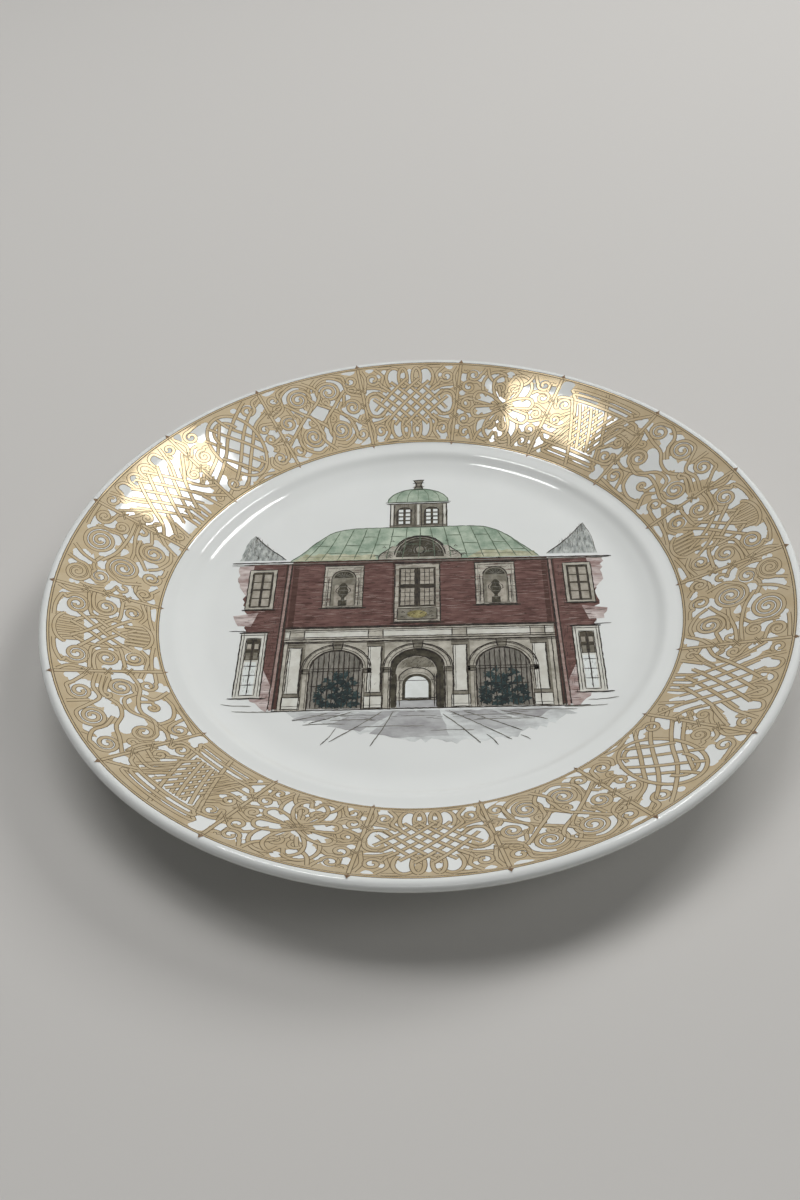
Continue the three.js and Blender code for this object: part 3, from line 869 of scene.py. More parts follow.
class Relief:
    """Collects the vertices and faces of raised gilding, in panel points with a lift."""

    def __init__(self):
        self.points, self.lifts, self.columns = [], [], []
        self.faces, self.kinds = [], []
        self.size = 0

    def add_points(self, points, lifts, column):
        self.points.append(points)
        self.lifts.append(np.broadcast_to(lifts, len(points)))
        self.columns.append(np.full(len(points), column))
        self.size += len(points)

    def add_strap(self, path, rise, base, half_width=STRAP_HALF_WIDTH):
        """A flat fill between two raised outlines, closed underneath and at its ends."""
        start, count = self.size, len(path)
        fill = base + STRAP_HEIGHT + rise * CROSSING_RISE
        foot = base + rise * CROSSING_RISE
        crest = half_width - OUTLINE_WIDTH / 2
        inner = half_width - OUTLINE_WIDTH
        section = [(-half_width, foot), (-crest, fill + OUTLINE_HEIGHT), (-inner, fill),
                   (inner, fill), (crest, fill + OUTLINE_HEIGHT), (half_width, foot)]
        for column, (offset, lifts) in enumerate(section):
            self.add_points(shifted(path, offset), lifts, column)
        self.faces += bar_faces(start, count, len(section))
        for column in range(len(section)):
            self.kinds += [FILL if column in FLAT_COLUMNS else OUTLINE] * (count - 1)
        self.kinds += [OUTLINE, OUTLINE]

    def add_ground(self, windows):
        """A thin gilt sheet over the whole panel with the windows cut out of it."""
        across = np.linspace(-HALF_PANEL, HALF_PANEL, 15)
        up = np.linspace(-HALF_BAND, HALF_BAND, 9)
        border = [(x, -HALF_BAND) for x in across[:-1]] + [(HALF_PANEL, y) for y in up[:-1]]
        border += [(x, HALF_BAND) for x in across[:0:-1]] + [(-HALF_PANEL, y) for y in up[:0:-1]]
        inner = [(x, y) for x in across[1:-1] for y in up[1:-1]]
        flat, triangles = cut_sheet(border, windows, inner)
        start, count = self.size, len(flat)
        self.add_points(flat, GROUND_HEIGHT, GROUND_TOP)
        self.add_points(flat, GROUND_UNDERSIDE, GROUND_BOTTOM)
        self.faces += film_faces(start, count, triangles)
        self.kinds += [FILL] * (len(self.faces) - len(self.kinds))


def sharp_edges(mesh, columns):
    """Creases along the feet of the outlines, so that a fill stays flat up to them."""
    ends = np.zeros(len(mesh.edges) * 2, int)
    mesh.edges.foreach_get("vertices", ends)
    first, second = columns[ends[::2]], columns[ends[1::2]]
    crease = (first == second) & np.isin(first, FILL_EDGES + OUTER_FEET)
    crease |= (np.minimum(first, second) >= GROUND_TOP) & (first != second)
    mesh.attributes.new("sharp_edge", "BOOLEAN", "EDGE").data.foreach_set("value", crease)


def add_divider(relief):
    """The bar between two panels, with small leaves crossing it."""
    bar = smooth([(-HALF_PANEL, y) for y in (-HALF_BAND, 0, HALF_BAND)], STRAP_STEP)
    relief.add_strap(bar, BAR_RISE, GROUND_HEIGHT, DIVIDER_HALF_WIDTH)
    for y in LEAVES:
        for lean in (-1, 1):
            reach_x, reach_y = LEAF_REACH
            leaf = [(side * reach_x - HALF_PANEL, y + side * reach_y * lean) for side in (-1, 1)]
            relief.add_strap(smooth(leaf, STRAP_STEP), 1, GROUND_HEIGHT, LEAF_HALF_WIDTH)


def patch_wave(x, y):
    """A slow wave over a panel that decides where its gaps are open and where they are gold."""
    return math.sin(0.62 * x + 0.35 * y) * math.cos(0.5 * y - 0.2 * x)


def open_gaps(panel, paths):
    """Cuts rows of overlapping round windows along the wider gaps between the straps."""
    scale = np.array((math.radians(1) * BAND_MIDDLE, SLOPE_SCALE))
    lines = np.vstack(paths) * scale
    limits = np.array((HALF_PANEL, HALF_BAND)) - GAP_MARGINS
    across, up = (np.arange(-end, end, step) for end, step in zip(limits, GAP_STEP / scale))
    spots = [(x, y) for x in across for y in up if patch_wave(x, y) > GAP_LEVEL]
    rooms = [np.linalg.norm(lines - np.array(spot) * scale, axis=1).min() for spot in spots]
    cut = []
    for room, (x, y) in sorted(zip(rooms, spots), reverse=True):
        if room <= NARROWEST_GAP:
            break
        spans = [math.hypot((x - a) * scale[0], (y - b) * scale[1]) / near for a, b, near in cut]
        if min(spans, default=1) > WINDOW_SPACING:
            radius = min(room, WIDEST_GAP) - WINDOW_UNDER_STRAP
            cut.append((x, y, radius))
            panel.oval(x, y, radius / scale[0], radius / scale[1])


def panel_relief(design):
    panel = design()
    paths = [smooth(path, STRAP_STEP) for path in panel.straps]
    open_gaps(panel, paths)
    relief = Relief()
    relief.add_ground(panel.windows)
    for number, (path, rise) in enumerate(zip(paths, crossing_rises(paths))):
        relief.add_strap(path, rise, GROUND_HEIGHT + STRAP_STAGGER * (number % 5))
    add_divider(relief)
    return relief


def rim_normal(place):
    """The direction that the rim's upper face looks in at a place on it."""
    way = math.atan2(place.y, place.x)
    return Vector((RIM_NORMAL.x * math.cos(way), RIM_NORMAL.x * math.sin(way), RIM_NORMAL.y))


def flatten_shading(mesh, kinds):
    """Shades every upward gold face as the plain cone of the rim, so that it mirrors evenly."""
    normals = np.zeros((len(mesh.loops), 3))
    for face, kind in zip(mesh.polygons, kinds):
        if kind == FILL and face.normal.dot(rim_normal(face.center)) >= UPWARD:
            for loop in face.loop_indices:
                normals[loop] = rim_normal(mesh.vertices[mesh.loops[loop].vertex_index].co)
    mesh.normals_split_custom_set(normals)


def add_panel(number, relief, design_name):
    middle = FIRST_DIVIDER + 360 / PANEL_COUNT * (number - 0.5)
    points = np.vstack(relief.points)
    columns = np.concatenate(relief.columns)
    vertices = on_band(points, np.concatenate(relief.lifts), middle)
    node = f"gilt_panel_{number:02d}_{design_name}"
    faces = [face[::-1] for face in relief.faces]
    piece = add_piece(
        f"lace_{number:02d}_{design_name}", vertices, faces, [gold_material, outline_material],
        node, indices=relief.kinds,
    )
    sharp_edges(piece.data, columns)
    flatten_shading(piece.data, relief.kinds)


def add_edge_line(name, node, radii):
    """A flat gilt line between two darker ones, all the way round."""
    low, high = radii
    width = OUTLINE_WIDTH
    profile = [(low, 0.0), (low + width / 2, 0.06), (low + width, 0.045),
               (high - width, 0.045), (high - width / 2, 0.06), (high, 0.0)]
    placed = []
    for radius, lift in profile:
        height = float(face_height(radius)) + (lift + 0.01) * math.cos(RIM_SLOPE)
        placed.append((radius - lift * math.sin(RIM_SLOPE), height))
    vertices, faces = turned(placed, closed=True)
    kinds = [OUTLINE if strip in (0, 1, 3, 4) else FILL for strip in range(len(profile))]
    add_piece(
        name, vertices, faces, [gold_material, outline_material], node,
        indices=np.repeat(kinds, ROUND_STEPS).tolist(),
    )


def add_studs():
    """Small faceted studs where each divider meets the edge lines."""
    vertices, faces = [], []
    for number in range(PANEL_COUNT):
        middle = FIRST_DIVIDER + 360 / PANEL_COUNT * number
        for y, reach in STUDS:
            start = len(vertices)
            ring = []
            for corner in range(8):
                angle = math.radians(45 * corner)
                spread = reach if corner % 2 == 0 else reach * 0.6
                ring.append((spread * 0.6 * math.cos(angle), y + spread * math.sin(angle)))
                after = (corner + 1) % 8
                faces.append((start + after, start + corner, start + 8))
                faces.append((start + corner, start + after, start + 9))
            vertices += on_band(np.array(ring), 0.02, middle).tolist()
            tips = np.array([(0, y), (0, y)])
            vertices += on_band(tips, np.array([STUD_HEIGHT, 0.0]), middle).tolist()
    add_piece("divider_studs", vertices, faces, [stud_material], None, smooth=False)


def add_border():
    for place, design in enumerate(DESIGNS):
        relief = panel_relief(design)
        for number in range(place + 1, PANEL_COUNT + 1, len(DESIGNS)):
            add_panel(number, relief, design.__name__)
    add_edge_line("outer_line", "outer_gilt_line", LINE_OUTSIDE)
    add_edge_line("inner_line", "inner_gilt_line", LINE_INSIDE)
    add_studs()


# ---- Printed picture -------------------------------------------------------------------------

# The picture is drawn in millimetres: x to the right, y towards its top, from the plate's middle.
# Each wash or stroke lies on its own layer, LAYER_LIFT above the one below it.
LAYER_LIFT = 0.022
FIRST_LIFT = 0.03
WASH_THICKNESS = 0.018
WASH_GRID = 5.0
INK_RIDGE = 0.02
INK_STEP = 1.3
WOBBLE = 0.09
PICTURE_DOWN = 1.2
EAVES = 26.7
SLATE_FOOT = 28.2
FACADE = (-47.5, 47.5)
GROUND_LINE = -47.0
ENTABLATURE = (-15.0, -8.6)
PILASTERS = (-43.0, -15.2, 14.2, 41.5)
ARCH_CENTRES = (-28.3, -0.4, 28.7)
ARCH_HALF = 8.9
ARCH_SPRING = -28.6
ARCH_FOOT = -46.6
BUSH_FOOT = -45.6
hand = random.Random(11)


def linear(value):
    value /= 255
    return value / 12.92 if value <= 0.04045 else ((value + 0.055) / 1.055) ** 2.4


def tint(red, green, blue):
    """Base colour of a print that looks this tone, out of 255, under its gloss."""
    return tuple(min(1, max(0.002, (linear(value) - 0.012) * 1.18)) for value in (red, green, blue))


def paint(name, dark, light, scale, stretch=(1, 1, 1)):
    """A watercolour wash: two tones that run into each other, with finer grain inside them."""
    item = new_material(name, tint(*light), 0.1)
    nodes, links = item.node_tree.nodes, item.node_tree.links
    place = nodes.new("ShaderNodeTexCoord")
    size = nodes.new("ShaderNodeMapping")
    size.inputs["Scale"].default_value = tuple(share / MM for share in stretch)
    links.new(place.outputs["Object"], size.inputs["Vector"])
    blend_tones(item, size.outputs["Vector"], scale, 5, 0.65, tint(*dark), tint(*light), 0.14)
    return item


PAINTS = {
    "ink": paint("ink", (34, 30, 26), (62, 56, 48), 0.4),
    "pale_ink": paint("pale_ink", (92, 90, 82), (132, 130, 122), 0.4),
    "green_ink": paint("green_ink", (72, 86, 70), (108, 122, 104), 0.4),
    "verdigris": paint("verdigris", (128, 147, 129), (178, 190, 172), 0.16),
    "lichen": paint("lichen_wash", (150, 152, 124), (190, 190, 166), 0.3),
    "deep_brick": paint("deep_brick", (62, 42, 36), (84, 60, 54), 0.3, (0.5, 1.6, 1)),
    "brick": paint("brick_wash", (84, 58, 54), (114, 86, 80), 0.28, (0.5, 1.6, 1)),
    "pale_brick": paint("pale_brick", (128, 104, 98), (160, 140, 133), 0.4, (0.5, 1.6, 1)),
    "faint_brick": paint("faint_brick", (140, 118, 113), (200, 190, 186), 0.22, (0.5, 1.6, 1)),
    "stone": paint("stone_wash", (142, 138, 126), (186, 182, 170), 0.2),
    "pale_stone": paint("pale_stone", (188, 186, 176), (206, 206, 198), 0.2),
    "stone_shade": paint("stone_shade", (100, 96, 84), (134, 130, 118), 0.35),
    "umber": paint("umber_wash", (40, 38, 28), (76, 72, 60), 0.4),
    "slate": paint("slate_wash", (124, 129, 126), (188, 192, 188), 0.45, (1.8, 0.6, 1)),
    "glass": paint("glass_wash", (132, 126, 114), (170, 164, 152), 0.35),
    "dark_glass": paint("dark_glass", (44, 42, 36), (84, 78, 66), 0.5),
    "white": paint("blank_white", (206, 210, 206), (216, 220, 218), 0.2),
    "gate": paint("gate_wash", (92, 90, 82), (138, 134, 126), 0.4, (1.6, 0.5, 1)),
    "bush": paint("bush_wash", (30, 44, 45), (56, 72, 72), 0.7),
    "deep_bush": paint("deep_bush", (22, 31, 32), (40, 54, 54), 0.7),
    "ochre": paint("ochre_wash", (108, 100, 62), (156, 148, 104), 0.6),
    "pavement": paint("pavement_wash", (146, 145, 146), (184, 186, 185), 0.11, (0.6, 1.6, 1)),
    "faint_pavement": paint("faint_pavement", (176, 178, 177), (212, 216, 214), 0.14, (0.6, 1.6, 1)),
}


class Print:
    """Washes of colour and ink lines laid on the glaze of the well."""

    def __init__(self):
        self.vertices, self.faces, self.kinds = [], [], []
        self.paints = {}

    def add_faces(self, faces, name):
        number = self.paints.setdefault(name, len(self.paints))
        self.faces += faces
        self.kinds += [number] * len(faces)

    def lay(self, flat, lifts):
        flat = flat - (0, PICTURE_DOWN)
        heights = face_height(np.hypot(flat[:, 0], flat[:, 1])) + lifts
        self.vertices += np.column_stack([flat, heights]).tolist()

    def wash(self, border, name, layer=0):
        """A thin closed film; a higher layer lies on the lower ones."""
        border = [tuple(map(float, corner)) for corner in border]
        across, up = zip(*border)
        grid_x = np.arange(min(across) + 2, max(across), WASH_GRID)
        grid_y = np.arange(min(up) + 2, max(up), WASH_GRID)
        inner = [(x, y) for x in grid_x for y in grid_y if inside((x, y), border)]
        flat, triangles = cut_sheet(border, (), inner)
        start, count = len(self.vertices), len(flat)
        top = FIRST_LIFT + LAYER_LIFT * layer
        self.lay(flat, top)
        self.lay(flat, top - WASH_THICKNESS)
        self.add_faces(film_faces(start, count, triangles), name)

    def ink(self, points, width=0.3, name="ink", layer=3):
        """One pen stroke: a low ridge that wavers a little and thins out at its ends."""
        path = smooth(points, INK_STEP) if len(points) > 2 else straight(points)
        count = len(path)
        along = np.gradient(path, axis=0)
        along /= np.linalg.norm(along, axis=1)[:, None] + 1e-9
        side = np.column_stack([-along[:, 1], along[:, 0]])
        drift = np.array([hand.uniform(-WOBBLE, WOBBLE) for _ in range(count)])
        swell = np.array([hand.uniform(0.75, 1.2) for _ in range(count)]) * width / 2
        swell[[0, -1]] *= 0.45
        path = path + side * drift[:, None]
        lift = FIRST_LIFT + LAYER_LIFT * layer
        start = len(self.vertices)
        self.lay(path - side * swell[:, None], lift)
        self.lay(path, lift + INK_RIDGE)
        self.lay(path + side * swell[:, None], lift)
        self.add_faces(bar_faces(start, count, 3), name)

    def block(self, left, bottom, right, top, name, layer=0):
        self.wash(rectangle(left, bottom, right, top), name, layer)

    def level(self, left, right, y, *finish, **more):
        self.ink([(left, y), (right, y)], *finish, **more)

    def upright(self, x, bottom, top, *finish, **more):
        self.ink([(x, bottom), (x, top)], *finish, **more)

    def box(self, left, bottom, right, top, width=0.3, name="ink", layer=3):
        corners = rectangle(left, bottom, right, top)
        for start, end in zip(corners, corners[1:] + corners[:1]):
            self.ink([start, end], width, name, layer)

    def panes(self, left, bottom, right, top, columns, rows, width=0.28, name="ink"):
        for x in np.linspace(left, right, columns + 1)[1:-1]:
            self.upright(x, bottom, top, width, name)
        for y in np.linspace(bottom, top, rows + 1)[1:-1]:
            self.level(left, right, y, width, name)

    def hatch(self, left, bottom, right, top, count, length, width, name, layer=3, lean=0.0):
        """Short strokes scattered over a box, level or leaning."""
        for _ in range(count):
            x, y = hand.uniform(left, right), hand.uniform(bottom, top)
            reach = hand.uniform(0.4, 1) * length
            end_x = min(right, x + reach * math.cos(lean))
            end_y = min(top, y + reach * math.sin(lean))
            if math.hypot(end_x - x, end_y - y) > 0.5:
                self.ink([(x, y), (end_x, end_y)], width, name, layer)

    def volute(self, middle, side, place, reach, width, name="ink"):
        """A small spiral beside an upright middle line, turned the other way on the other side."""
        points = []
        for step in range(8):
            radius, angle = reach * (1 - step / 9), 0.9 * step
            across = place[0] + radius * math.cos(angle)
            points.append((middle + side * across, place[1] + radius * math.sin(angle)))
        self.ink(points, width, name)

    def finish(self, name, slot, node=None):
        materials = [PAINTS[paint_name] for paint_name in self.paints]
        node = node or f"{name}_print"
        add_piece(name, self.vertices, self.faces, materials, node, self.kinds, smooth=False)


def straight(points):
    (x0, y0), (x1, y1) = points
    count = max(2, int(math.hypot(x1 - x0, y1 - y0) / INK_STEP) + 1)
    return np.column_stack([np.linspace(x0, x1, count), np.linspace(y0, y1, count)])


def inside(point, loop):
    """Whether a point is inside a closed loop."""
    x, y = point
    hit = False
    for (x0, y0), (x1, y1) in zip(loop, loop[1:] + loop[:1]):
        if (y0 > y) != (y1 > y) and x < (x1 - x0) * (y - y0) / (y1 - y0) + x0:
            hit = not hit
    return hit


def side_name(side):
    return "left" if side < 0 else "right"


def side_span(side, near, far):
    """Left and right ends of a stretch from near to far on one side of the middle."""
    return sorted((side * near, side * far))


def rectangle(left, bottom, right, top):
    return [(left, bottom), (right, bottom), (right, top), (left, top)]


def ragged(start, end, depth, step=1.6):
    """Points from start to end that wander sideways, like the dry edge of a wash."""
    count = max(2, int(math.hypot(end[0] - start[0], end[1] - start[1]) / step))
    along = np.array(end, float) - start
    side = np.array([-along[1], along[0]]) / np.linalg.norm(along)
    points = []
    for place in range(count):
        slide = hand.uniform(-depth, depth) if place else 0
        points.append(tuple(np.array(start) + along * place / count + side * slide))
    return points


def arch_outline(centre, half, foot, spring):
    """A doorway: upright sides from foot to spring and a half round on top."""
    top = arc(centre, spring, half, half, 0, 180)
    return [(centre - half, foot), (centre + half, foot), *top]


ROOF_LEFT = [(-48.7, 27), (-44, 31.6), (-39.3, 37.4), (-33.2, 43), (-25.7, 45.3)]
ROOF_RIGHT = [(18, 45.4), (25.9, 44.4), (32.4, 40.3), (37.6, 34.9), (44.8, 27)]


def roof_edge(x):
    """Height of the copper roof's outline."""
    return float(np.interp(x, *zip(*ROOF_LEFT, *ROOF_RIGHT)))


def draw_copper_roof():
    """The hipped copper roof, with its seams and lighter foot."""
    roof = Print()
    left, right = smooth(ROOF_LEFT, 1).tolist(), smooth(ROOF_RIGHT, 1).tolist()
    roof.wash([*left, *right], "verdigris")
    for start, end in ((-47.5, -16), (18, 44)):
        foot = [(start, 27.2), (end, 27.2)]
        roof.wash([*foot, *ragged((end - 1, 30.2), (start + 3, 30.8), 0.7)], "lichen", 1)
    roof.ink(left, 0.45, "green_ink")
    roof.ink([(-25.7, 45.3), (-4, 45.5), (18, 45.4)], 0.35, "green_ink")
    roof.ink(right, 0.4, "green_ink")
    seams = [(x, x * 0.84 + (0.6 if x < 0 else -0.6)) for x in np.arange(-43, 43, 6.1)]
    for foot, head in seams:
        top = roof_edge(head) - 0.3
        bend = ((foot + head) / 2 + 0.2, (27.4 + top) / 2)
        roof.ink([(foot, 27.4), bend, (head, top)], 0.36, "green_ink")
    feet = [foot for foot, _ in seams]
    for near_height, far_height, lean, near_feet, far_feet in (
        (35.6, 35.4, 0.92, feet[::2], feet[1::2]),
        (40.2, 40.1, 0.88, feet[3:-3:2], feet[4:-2:2]),
        (31.3, 31.2, 0.95, feet[1::2], feet[2::2]),
    ):
        for near, far in zip(near_feet, far_feet):
            roof.ink([(near * lean, near_height), (far * lean, far_height)], 0.34, "green_ink")
    for start in (-44, -20, 3, 20):
        roof.ink([(start, 29.4), (start + 22, 29.2)], 0.16, "pale_ink")
    roof.finish("copper_roof", "copper")


def draw_cupola():
    """A small domed lantern with two openings and a finial."""
    cupola = Print()
    middle, foot, cornice, dome_foot = -0.6, 45.6, 59.6, 60.4
    cupola.block(-11.6, foot, 10.8, cornice, "stone_shade")
    dome = arc(middle, dome_foot, 12.0, 8.6, 0, 180)
    cupola.wash(dome, "verdigris")
    finial = [(-2.6, 68.4), (1.6, 68.4), (0.9, 71.8), (1.5, 74.6), (-2.4, 74.6), (-1.8, 71.8)]
    cupola.wash(finial, "stone_shade")
    cupola.ink(dome, 0.4, "green_ink")
    for lean in (-0.72, -0.36, 0, 0.36, 0.72):
        rib = []
        for angle in np.radians((2, 35, 65, 85)):
            bulge = 12 * lean * math.cos(angle) ** 0.6
            rib.append((middle + bulge, dome_foot + 8.4 * math.sin(angle)))
        cupola.ink(rib, 0.22, "green_ink")
    ledges = ((59.7, 12.4, 0.5), (60.6, 12.9, 0.4), (45.4, 12.2, 0.5), (46.6, 11.4, 0.2))
    for height, reach, width in ledges:
        cupola.ink([(middle - reach, height), (middle + reach, height + 0.1)], width)
    for x in (-11.4, -9.9, -1.8, 0.7, 8.9, 10.6):
        cupola.upright(x, foot, cornice - 0.2, 0.42 if abs(x) > 9 else 0.3)
    for x in (-10.7, -0.5, 9.8):
        cupola.block(x - 0.45, 46.8, x + 0.45, 59.2, "pale_stone", 1)
    for centre in (-5.9, 4.8):
        opening = arch_outline(centre, 2.9, 47, 54.6)
        cupola.wash(opening, "dark_glass", 1)
        cupola.ink([*opening[2:], opening[0]], 0.45)
        for column in (-1, 1):
            for row in range(4):
                x, y = centre + column * 1.35, 48.1 + row * 2.35
                cupola.block(x - 0.85, y - 0.6, x + 0.85, y + 0.95, "white", 2)
    for height in (70.2, 72.6, 74.4):
        cupola.ink([(-2.8, height), (1.8, height + 0.2)], 0.5)
    cupola.ink([(-2.2, 68.6), (-1.2, 71.6), (-2.6, 74.6)], 0.4)
    cupola.ink([(1.2, 68.6), (0.4, 71.6), (1.8, 74.6)], 0.4)
    cupola.hatch(-11, 46, 10.6, 59, 26, 3.2, 0.18, "ink", lean=math.pi / 2)
    cupola.finish("cupola", "copper")


def draw_pediment():
    """A low hood over the middle with a round ornament, volutes and a carved shoulder each side."""
    pediment = Print()
    middle = 0.2
    shoulder = [(15.8, 27.1), (15.4, 29.6), (13.0, 32.0), (10.6, 34.6)]
    hood = arc(middle, 29.0, 10.2, 11.2, 28, 152)
    left_shoulder = [(2 * middle - x, y) for x, y in shoulder[::-1]]
    pediment.wash([*shoulder, *hood, *left_shoulder], "stone", 1)
    pediment.wash([(-8.9, 28.2), (9.3, 28.2), *arc(middle, 28.8, 9.0, 10.4, 4, 176)], "umber", 2)
    pediment.ink(shoulder, 0.42)
    pediment.ink(left_shoulder, 0.42)
    pediment.ink(hood, 0.6)
    pediment.ink(arc(middle, 28.8, 9.6, 10.9, 2, 178), 0.55)
    pediment.ink(arc(middle, 28.8, 8.0, 9.2, 6, 174), 0.24, "pale_ink")
    volutes = ((4.0, 31.6, 1.5), (7.4, 30.6, 1.3), (3.0, 34.9, 1.1), (6.0, 34.0, 1.0),
               (12.4, 30.4, 1.1), (16.3, 28.8, 1.2), (13.4, 33.6, 0.9), (10.2, 37.0, 0.8))
    for side in (-1, 1):
        for x, y, reach in volutes:
            tone = "pale_ink" if x < 9 else "ink"
            pediment.volute(middle, side, (x, y), reach, 0.3, tone)
        leaf = [(middle + side * x, y) for x, y in ((1.8, 30.2), (2.4, 32.2), (1.4, 34.2))]
        pediment.ink(leaf, 0.35, "pale_ink")
    pediment.wash(arc(middle, 32.2, 1.5, 2.0, 0, 345), "stone_shade", 3)
    pediment.ink(arc(middle, 32.2, 1.7, 2.2, 0, 360), 0.3, "ink", 4)
    pediment.hatch(-10, 29, 10.4, 36.5, 60, 1.4, 0.22, "pale_ink", lean=0.9)
    for side in (-1, 1):
        low, high = side_span(side, 10.2, 14.6)
        pediment.hatch(middle + low, 27.6, middle + high, 31.4, 34, 1.2, 0.26, "ink", lean=0.5)
    pediment.finish("pediment", "umber")


def draw_slate_roof(side, peak, left, right):
    """The end of a wing's roof, which rises from its left and right feet to a peak."""
    roof = Print()
    feet = [(left, SLATE_FOOT), (right, SLATE_FOOT - 0.2)]
    if side < 0:
        edge = ragged((left + 0.4, SLATE_FOOT), (peak[0] - 2.4, 38.5), 0.5)
        shoulder, crest = (-56.5, 34.6), (peak[0] - 1.6, 40.5)
        roof.wash([*feet, shoulder, peak, crest, *edge[:0:-1]], "slate")
        roof.ink([peak, (-58, 35.8), (right, SLATE_FOOT)], 0.42)
    else:
        roof.wash([*feet, (peak[0] + 2.2, 37.5), peak, (57.2, 37.4)], "slate")
        roof.ink([(left, SLATE_FOOT), (55.4, 36.0), peak], 0.42)
        roof.ink([peak, (65.0, 37.4), (65.9, 29.2)], 0.25, "pale_ink")
    for _ in range(120):
        y = hand.uniform(28.6, peak[1] - 1)
        share = (y - SLATE_FOOT) / (peak[1] - SLATE_FOOT)
        near = left + (peak[0] - left) * share + 0.5
        far = right + (peak[0] - right) * share - 0.6
        if far - near > 0.6:
            x = hand.uniform(near, far)
            head = (x + (peak[0] - x) * 0.05, min(peak[1] - 0.5, y + hand.uniform(1.0, 2.6)))
            roof.ink([(x, y), head], 0.2, "pale_ink" if hand.random() < 0.6 else "ink")
    roof.finish(f"{side_name(side)}_slate_roof", "slate")


def brick_strokes(drawing, left, bottom, right, top, share):
    """Courses of brick: pale and dark level strokes."""
    area = (right - left) * (top - bottom)
    drawing.hatch(left, bottom, right, top, int(area * 0.115 * share), 4.6, 0.2, "pale_brick", 1)
    drawing.hatch(left, bottom, right, top, int(area * 0.16 * share), 5.4, 0.24, "deep_brick", 1)
    drawing.hatch(left, bottom, right, top, int(area * 0.05 * share), 2.2, 0.3, "ink", 1)


def draw_brick_front():
    """The brick wall between the wings, and the eaves over all of it."""
    brick = Print()
    left, right = FACADE
    brick.block(left, ENTABLATURE[1], right, EAVES, "brick")
    for spot in ((-46.9, -8.4, -44.8, 26.4), (45.2, -8.4, 47.0, 26.4), (-9.9, -7.4, -8.9, 25)):
        brick.block(*spot, "deep_brick", 1)
    brick_strokes(brick, left + 0.6, ENTABLATURE[1] + 0.5, right - 0.6, EAVES - 1.4, 1)
    brick.ink([(-70.5, EAVES + 0.1), (0, EAVES), (71.3, EAVES - 0.6)], 0.55)
    brick.ink([(-66, EAVES - 0.9), (0, EAVES - 0.8), (68, EAVES - 1.5)], 0.4, "pale_ink")
    brick.ink([(-50, EAVES - 1.6), (0, EAVES - 1.5), (50, EAVES - 1.9)], 0.4)
    brick.ink([(left, ENTABLATURE[1] + 0.6), (right, ENTABLATURE[1] + 0.4)], 0.4)
    brick.finish("brick_front", "brick")


def draw_wing(side):
    """A wing with two windows and a rain pipe; its outer edge fades out."""
    wing = Print()

    def at(x, y):
        return side * x, y

    edge = ragged(at(64, 25.8), at(64, 4), 0.7) + ragged(at(64, 4), at(61.5, -9), 1.4)
    edge += ragged(at(61.5, -9), at(62.5, -13), 0.8) + ragged(at(55.5, -14), at(53.5, -44), 0.9)
    wing.wash([at(47.4, 25.8), *edge, at(52, -46), at(47.4, -46.4)], "brick")
    for first, start, end, depth, last in (
        (at(62, 25.4), at(67.5, 25.0), at(66.2, 12), 0.8, at(63, 8)),
        (at(53.6, -28), at(57.5, -41), at(50, -49), 1.0, at(48.4, -40)),
        (at(58, 0), at(67, -1.5), at(65, -8.5), 1.0, at(60, -7)),
    ):
        wing.wash([first, *ragged(start, end, depth), last], "faint_brick", 1)
    low, high = side_span(side, 47.4, 49.8)
    wing.block(low, -46, high, 25.4, "deep_brick", 1)
    low, high = side_span(side, 50.4, 62.5)
    brick_strokes(wing, low, -11, high, 1.4, 1.6)
    brick_strokes(wing, low, 22.6, high, 25.2, 1.2)
    low, high = side_span(side, 49.9, 53.6)
    brick_strokes(wing, low, -44, high, 24, 1.2)
    low, high = side_span(side, 47.9, 48.8)
    shift = side * 1.2
    pipe = [(low, 25.2), (high, 25.2), (high + shift, -46.8), (low + shift, -46.8)]
    wing.wash(pipe, "pale_brick", 2)
    wing.ink([at(47.6, 25.4), at(48.2, -10), at(48.7, -47)], 0.6)
    wing.ink([at(49.1, 25.2), at(49.7, -10), at(50.3, -46.6)], 0.4)
    draw_upper_window(wing, *side_span(side, 52.9, 63.2), 1.6, 22.8)
    draw_lower_window(wing, *side_span(side, 53.6, 62.8), -41.5, -10.6)
    low, high = side_span(side, 50.2, 52.8)
    wing.hatch(low, -44, high, 24, 40, 2.6, 0.22, "ink", lean=1.4)
    for y, near, far in (
        (-47.4, 48, 62), (-44.6, 56, 66), (-9.4, 61, 67.5), (25.4, 62, 70.5), (-2.6, 63, 66)
    ):
        wing.ink([at(near, y), at(far, y + 0.2)], 0.3, "ink" if far > 66.5 else "pale_ink")
    wing.finish(f"{side_name(side)}_wing", "brick")


def draw_upper_window(wing, left, right, bottom, top):
    """A window of two lights, four panes high."""
    wing.block(left, bottom, right, top, "stone", 2)
    wing.box(left, bottom, right, top, 0.42, layer=4)
    wing.block(left + 1.5, bottom + 1.3, right - 1.5, top - 1.6, "dark_glass", 3)
    middle, transom = (left + right) / 2, (bottom + top) / 2
    pane = (top - bottom - 3.9) / 4 - 0.55
    for near, far in ((left + 2.0, middle - 0.5), (middle + 0.5, right - 2.0)):
        for y in np.linspace(bottom + 1.8, top - 2.1, 5)[:-1]:
            wing.block(near, y, far, y + pane, "glass", 4)
    wing.upright(middle, bottom + 1.4, top - 1.8, 0.55, layer=5)
    wing.level(left + 1.6, right - 1.6, transom, 0.5, layer=5)
    wing.box(left + 1.4, bottom + 1.2, right - 1.4, top - 1.5, 0.4, layer=5)
    wing.level(left - 1.0, right + 1.0, bottom - 0.3, 0.7, layer=5)


